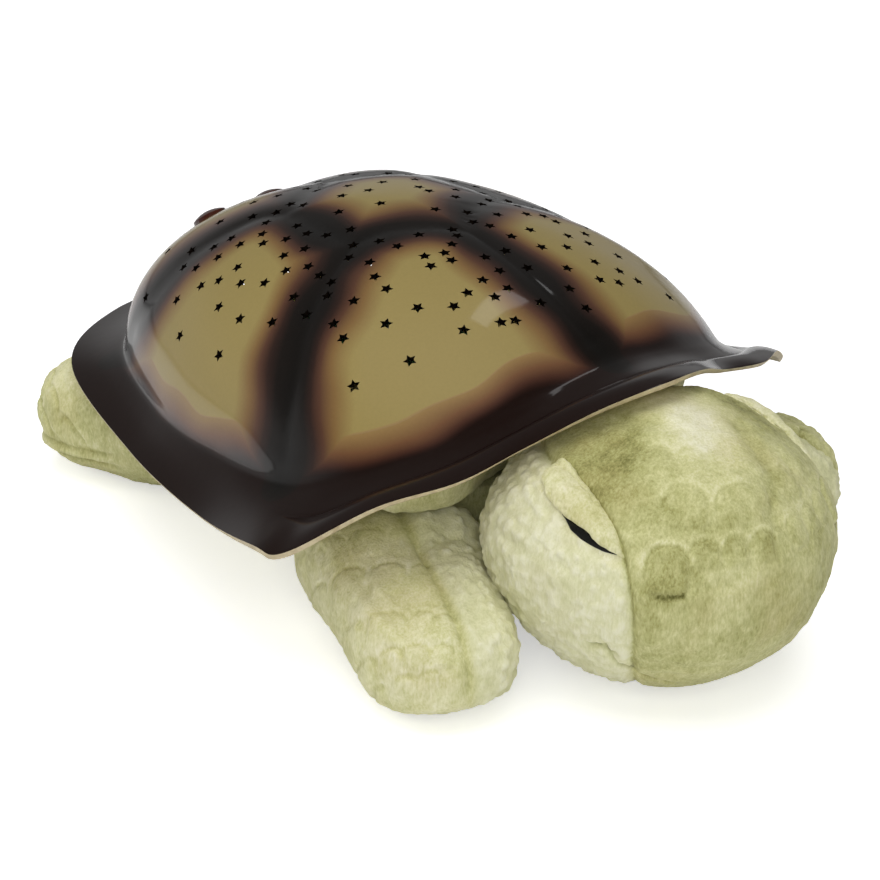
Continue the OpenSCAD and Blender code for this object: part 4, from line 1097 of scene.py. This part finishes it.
def makeEye(ball, side, name, node):
    # black satin in the slit under the lid, a little crowned
    def over(s, t):
        return 0.35 + 0.55 * math.sin(math.pi * t) ** 0.5 * math.sin(math.pi * s)

    obj = crescent(ball, side, name, ("slitLower", "slitUpper"), 30, 6, over, lambda t: -0.8)
    refine(obj, 1)
    obj.data.materials.append(satinCloth)
    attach(obj, "head_group")
    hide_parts(node)


# flippers: scaled short pile on top, a paler nubby roll along the inner side of the front ones

def evenly(pitch, shift=0.0):
    return [pitch * (i + shift) - 6 for i in range(-4, 4)]


flipper = {
    # hip and sizes in mm, and how far the left and the right one are turned, in degrees
    "front": {"hip": (65, -35), "turn": (35.0, 11.5), "halfW": 25, "tall": 53, "length": 96, "hem": 6.5,
              "ridge": 0.8},
    "rear": {"hip": (58, 100), "turn": (22.0, 22.0), "halfW": 24, "tall": 53, "length": 60, "hem": 16.0,
             "ridge": 1.5},
    "groove": ([-10, 23, 57, 84, 92], [10, 7.3, 1.2, -1.8, -3.2]),       # along the flipper, and across it
    "tipFall": 22, "fallFrom": 62, "fallOver": 34, "leftPaintedShade": 0.34,
    # the scales' rows are laid out on the right front flipper; the rear ones stretch and shift them
    "patternTurn": 168.5, "rowWay": (0.765, -0.644), "rearStretch": 1.25, "rearShift": 14,
    # rows of scales down the flipper: place along it, half height, pitch, places across it
    "rows": [(72, 6.2, 14, evenly(14)), (86, 6.4, 15, evenly(15, 0.5)), (107, 8.6, 15, evenly(15)),
             (130, 9.6, 14, evenly(14, 0.5)), (157, 8.0, 12, (-34, -24, -11.8, -0.2, 8.2)),
             (171, 5.2, 9, (-27, -17.9, -10, -2.6, 6.2)), (180.5, 3.6, 8, (-14, -6, 2))],
}


def flipperFrame(side, front):
    # a flipper's hip, its angle, and which way across it is inwards
    form = flipper["front" if front else "rear"]
    turned = side * form["turn"][0 if side > 0 else 1]
    angle = math.radians(180 + turned if front else -turned)
    return side * form["hip"][0], form["hip"][1], angle, side if front else -side


def flipperPlace(co, side, front):
    # the place within a flipper: across it (inwards is plus), along it, and up
    hipX, hipY, angle, inwards = flipperFrame(side, front)
    x, y = co[:, 0] - hipX, co[:, 1] - hipY
    across = x * math.cos(angle) + y * math.sin(angle)
    along = -x * math.sin(angle) + y * math.cos(angle)
    return inwards * across, along, co[:, 2]


def grooveLine(side):
    # the groove along a front flipper's top, whose height falls towards the tip
    form = flipper["front"]
    hipX, hipY, angle, inwards = flipperFrame(side, True)
    line = []
    for y in np.linspace(8, 92, 26):
        x = inwards * np.interp(y, *flipper["groove"])
        z = (form["tall"] * (1 - 0.10 * (y / form["length"]) ** 2)
             - flipper["tipFall"] * max(0.0, (y - flipper["fallFrom"]) / flipper["fallOver"]) ** 2.2)
        line.append((hipX + x * math.cos(angle) - y * math.sin(angle),
                     hipY + x * math.sin(angle) + y * math.cos(angle), z))
    return line


def makeFlipper(side, front, name, node, body):
    form = flipper["front" if front else "rear"]
    obj = softCopy(node, name, plush["voxel"])
    co = getPoints(obj) / mm
    a, y, z = flipperPlace(co, side, front)
    hem = form["hem"]
    # the hem seam runs round the edge at one height: it goes through the mesh's own points, in order
    pinned = co[(np.abs(z - hem) < 2.4) & (y > form["halfW"] * 0.6)]
    away = pinned - pinned.mean(axis=0)
    seams = [pinned[np.argsort(np.arctan2(away[:, 1], away[:, 0]))][::3]]
    if front:
        seams.append(grooveLine(side))
    stuff(obj, seams, plush["swell"])
    refine(obj, plush["rounds"])
    fillOut(obj, node)
    co = getPoints(obj) / mm
    a, y, z = flipperPlace(co, side, front)
    normals = getNormals(obj)
    height, tone = np.zeros(len(co)), np.zeros(len(co))
    edge = np.abs(z - hem - 1.2 * np.sin(a / 9))
    sewn = rise(y, form["halfW"] * 0.2, form["halfW"] * 0.9)
    # the hem stands out as a thin ridge with a crease on each side, with a painted highlight on the ridge and
    # painted shade in the creases
    height += sewn * (form["ridge"] * np.exp(-(edge / 1.1) ** 2) + dentAt(edge - 2.8, 0.8, 1.2))
    tone += sewn * (0.1 * np.exp(-(edge / 0.9) ** 2) - 0.5 * np.exp(-((edge - 2.6) / 1.1) ** 2))
    # painted shade: darker towards the floor below the hem
    tone -= 0.3 * (1 - rise(z, 2, hem))
    nubby = np.zeros(len(co))
    if front:
        off = a - np.interp(y, *flipper["groove"])
        onTop = rise(z, 14, 22) * rise(y, 2, 14)
        # the groove along the top sinks in, and is painted in shade along its middle
        height += onTop * (dentAt(off, 2.0, 3.2) + dentAt(off, 0.6, 1.0))
        tone += -0.42 * onTop * np.exp(-(off / 2.2) ** 2)
        nubby = rise(off, 0.5, 3.0) * rise(y, 4, 16) * rise(z, 9, 13)
        height += 1.3 * nubby * np.exp(-((off - 13) / 9) ** 2)
        # a lump near the root with a crease round it, and a swelling of the inner side beside it
        fold = np.hypot(a - 15, y - 31)
        height += 4.0 * np.exp(-(fold / 11) ** 2) + dentAt(np.abs(fold - 15), 1.0, 2.4) * nubby
        inner = rise(a, 6, 20) * np.exp(-((y - 34) / 19) ** 2 - ((z - 40) / 15) ** 2)
        height += 9.0 * inner * (1 - rise(normals[:, 2], 0.55, 0.9))
        # the outer side swells where the flipper broadens
        outer = rise(-a, 8, 22) * np.exp(-((y - 70) / 22) ** 2)
        height += (5.0 if side < 0 else 3.5) * outer * (1 - rise(normals[:, 2], 0.5, 0.9))
        # the lump near the root is painted paler, as painted light
        tone += 0.3 * np.exp(-(fold / 8) ** 2)
        # tufts on the inner roll, painted paler on top as a highlight and darker between as shade
        tuft = nubs(co, 4.0, 7.0 + side)
        height += nubby * (tuft * 1.1 - 0.35)
        tone += nubby * (0.42 * tuft - 0.08)
    # scales, laid out across the flipper and down its length, with a painted shadow along each one's upper rim
    # and a painted highlight above it
    turned, far = math.radians(flipper["patternTurn"]), y
    if not front:
        far = y * flipper["rearStretch"] + flipper["rearShift"]
    hipX, hipY = flipper["front"]["hip"]
    px = -hipX - a * math.cos(turned) - far * math.sin(turned)
    py = hipY - a * math.sin(turned) + far * math.cos(turned)
    wayX, wayY = flipper["rowWay"]
    acrossRow = wayX * px + wayY * py
    downRow = wayY * px - wayX * py + 0.9 * (form["tall"] - z)
    scaly = (1 - nubby) * rise(z, hem + 1, hem + 6)
    for centre, halfH, pitch, places in flipper["rows"]:
        strong = 0.55 if centre < 120 else 1.0         # the upper rows are fainter
        for spot in places:
            up = centre - downRow
            out = plateShape(acrossRow - spot, up, pitch * 0.43, halfH)
            inside = (1 - rise(out, -2.0, 0.3)) * scaly
            rim = np.exp(-(out / 0.75) ** 2) * scaly
            crown = rise(up, 0, halfH * 0.6)
            halo = np.exp(-((out - 1.5) / 1.0) ** 2) * crown * scaly
            height += strong * (0.5 * inside + rim * (-0.25 - 0.4 * crown))
            tone += strong * (-0.04 * inside - rim * (0.03 + 0.4 * crown) + 0.16 * halo)
    height += 0.7 * waveNoise(co, 34, 31 + side) + 0.3 * waveNoise(co, 10, 33) + pileOf(co, 34)
    emboss(obj, height)
    # painted shade: the left front flipper is darker all over
    if front and side > 0:
        tone -= flipper["leftPaintedShade"]
    # the rear flippers are painted paler where they face up, as painted light
    paintCloth(obj, tone, nubby, 0.62 + 0.04 * nubby if front else 0.24 + 0.3 * rise(normals[:, 2], 0.2, 0.9))
    finishSoft(obj, node, body, plushCloth)


# body: the stuffed part under the shell, and the roll of it that closes the arch behind the head

neck = {
    "path": [(-80, -48), (-73, -57), (-60, -65), (-44, -68), (-24, -62), (0, -60.5), (24, -62), (44, -68),
             (60, -65), (73, -57), (80, -48)],
    "half": [7, 11, 12.5, 10.5, 7.5, 6.5, 7.5, 10.5, 12.5, 11, 7], "middle": 69.0, "halfH": 15.5,
    "rings": 40, "around": 24, "ahead": 0.02, "voxel": 3.5, "lowest": 56.2,
}


def makeNeck():
    rows = []
    for k in range(neck["rings"] + 1):
        t = k / neck["rings"]
        s = 2 * t - 1
        half = curveThrough([(h,) for h in neck["half"]], t)[0]
        full = max(0.02, (1 - abs(s) ** 5) ** 0.5)
        x, y = curveThrough(neck["path"], t)
        ahead = curveThrough(neck["path"], min(1, t + neck["ahead"]))
        behind = curveThrough(neck["path"], max(0, t - neck["ahead"]))
        along = (ahead - behind) / np.linalg.norm(ahead - behind)
        ring = []
        for j in range(neck["around"]):
            b = 2 * math.pi * j / neck["around"]
            ring.append((x - along[1] * half * full * math.cos(b), y + along[0] * half * full * math.cos(b),
                         neck["middle"] + neck["halfH"] * full * math.sin(b)))
        rows.append(ring)
    obj = rollSheet("neckRoll", rows)
    closeEnds(obj)
    remeshAt(obj, neck["voxel"])
    refine(obj, 1)
    co = getPoints(obj) / mm
    emboss(obj, 0.9 * waveNoise(co, 24, 41) + 0.3 * waveNoise(co, 8, 42) + pileOf(co, 43))
    # its underside lies flat, just above the body
    flattened = getPoints(obj)
    flattened[:, 2] = np.maximum(flattened[:, 2], neck["lowest"] * mm)
    setPoints(obj, flattened)
    paintCloth(obj, 0.05 * waveNoise(co, 12, 44), 0.0, 0.5)
    finishSoft(obj, "neck_collar", "turtle", plushCloth)


cushion = {"voxel": 2.5, "easeRounds": 6, "middleY": 28, "edge": (80, 86)}
# the cuff runs between two stations of the shell's foot, "from" and "to"
cuff = {"halfW": 88.5, "halfL": 94.5, "topZ": 50.8, "from": 5.8, "to": 16.2, "steps": 97, "around": 16,
        "thick": 1.7, "bow": 1.6, "inset": 3.5, "under": 3.9}


def makeCuff():
    # the upper edge of the body's cloth, which rises inside the shell's foot and closes the gap there
    rows = []
    for u in np.linspace(cuff["from"], cuff["to"], cuff["steps"]):
        foot = aroundLoop(footLoop, u)
        ahead = foot[1] - cushion["middleY"]
        angle = math.atan2(ahead / cuff["halfL"], foot[0] / cuff["halfW"])
        low = np.array([cuff["halfW"] * math.cos(angle), cushion["middleY"] + cuff["halfL"] * math.sin(angle),
                        cuff["topZ"]])
        out = np.array([foot[0], ahead, 0]) / math.hypot(foot[0], ahead)
        top = foot[:3] - out * cuff["inset"] - np.array([0, 0, cuff["under"]])
        across = np.cross(np.cross(top - low, out), top - low)
        across /= np.linalg.norm(across)
        ring = []
        for j in range(cuff["around"]):
            b = 2 * math.pi * j / cuff["around"]
            along = math.cos(b)
            ring.append((low + top) / 2 + (top - low) / 2 * along + across * cuff["thick"] * math.sin(b)
                        + (out - np.array([0, 0, 0.6])) * cuff["bow"] * (1 - along ** 2))
        rows.append(ring)
    obj = rollSheet("bodyCuff", rows)
    closeEnds(obj)
    refine(obj, 1)
    return obj


def makeBody():
    obj = softCopy("plush_body", "bodyCushion", cushion["voxel"])
    ease(obj, cushion["easeRounds"])
    refine(obj, 1)
    pickOnly(obj, makeCuff())
    bpy.ops.object.join()
    co = getPoints(obj) / mm
    # the sides are lumpy, and the top and the belly stay flat
    x, y = co[:, 0] / cushion["edge"][0], (co[:, 1] - cushion["middleY"]) / cushion["edge"][1]
    lumps = rise(np.hypot(x, y), 0.85, 1.0) * (0.8 * waveNoise(co, 30, 51) + 0.3 * waveNoise(co, 9, 52))
    emboss(obj, lumps + pileOf(co, 53) - 0.5)
    # painted shade: darker towards the floor
    paintCloth(obj, 0.05 * waveNoise(co, 14, 54) - 0.15 * (1 - rise(co[:, 2], 2, 20)), 0.0, 0.12)
    finishSoft(obj, "plush_body", "turtle", plushCloth)


def makeBellyPiece(node, name, body):
    # thin cloth with a nubby pile, whose tufts end level with the solid's flat faces
    obj = softCopy(node, name, 1.0)
    ease(obj, 4)
    for poly in obj.data.polygons:
        poly.use_smooth = True
    co = getPoints(obj) / mm
    tuft = nubs(co, 3.6, 9.0)
    soft = np.where(getNormals(obj)[:, 2] < 0, 1.0, 0.4)
    emboss(obj, soft * (0.22 * tuft - 0.2), floor=False)
    # tufts painted paler on top as a highlight and darker between as shade
    paintCloth(obj, 0.35 * tuft - 0.15, 1.0, 0.55)
    finishSoft(obj, node, body, plushCloth)


ball = makeHead()
print("stage: head,", len(ball.data.polygons), "faces")
for side, word in ((-1, "right"), (1, "left")):
    makeLid(ball, side, "eyelidPad_" + word, "eyelid_" + word)
    makeEye(ball, side, "eyeSlit_" + word, "eye_" + word)
    makeFlipper(side, True, "frontFlipper_" + word, "front_flipper_" + word, word + "_front_flipper")
    makeFlipper(side, False, "rearFlipper_" + word, "rear_flipper_" + word, word + "_rear_flipper")
print("stage: eyes and flippers")
makeNeck()
makeBody()
makeBellyPiece("belly_panel", "bellyPanel", "turtle")
makeBellyPiece("belly_flap", "bellyFlap", "flap")
print("stage: body and belly")

scene.view_layers[0].update()
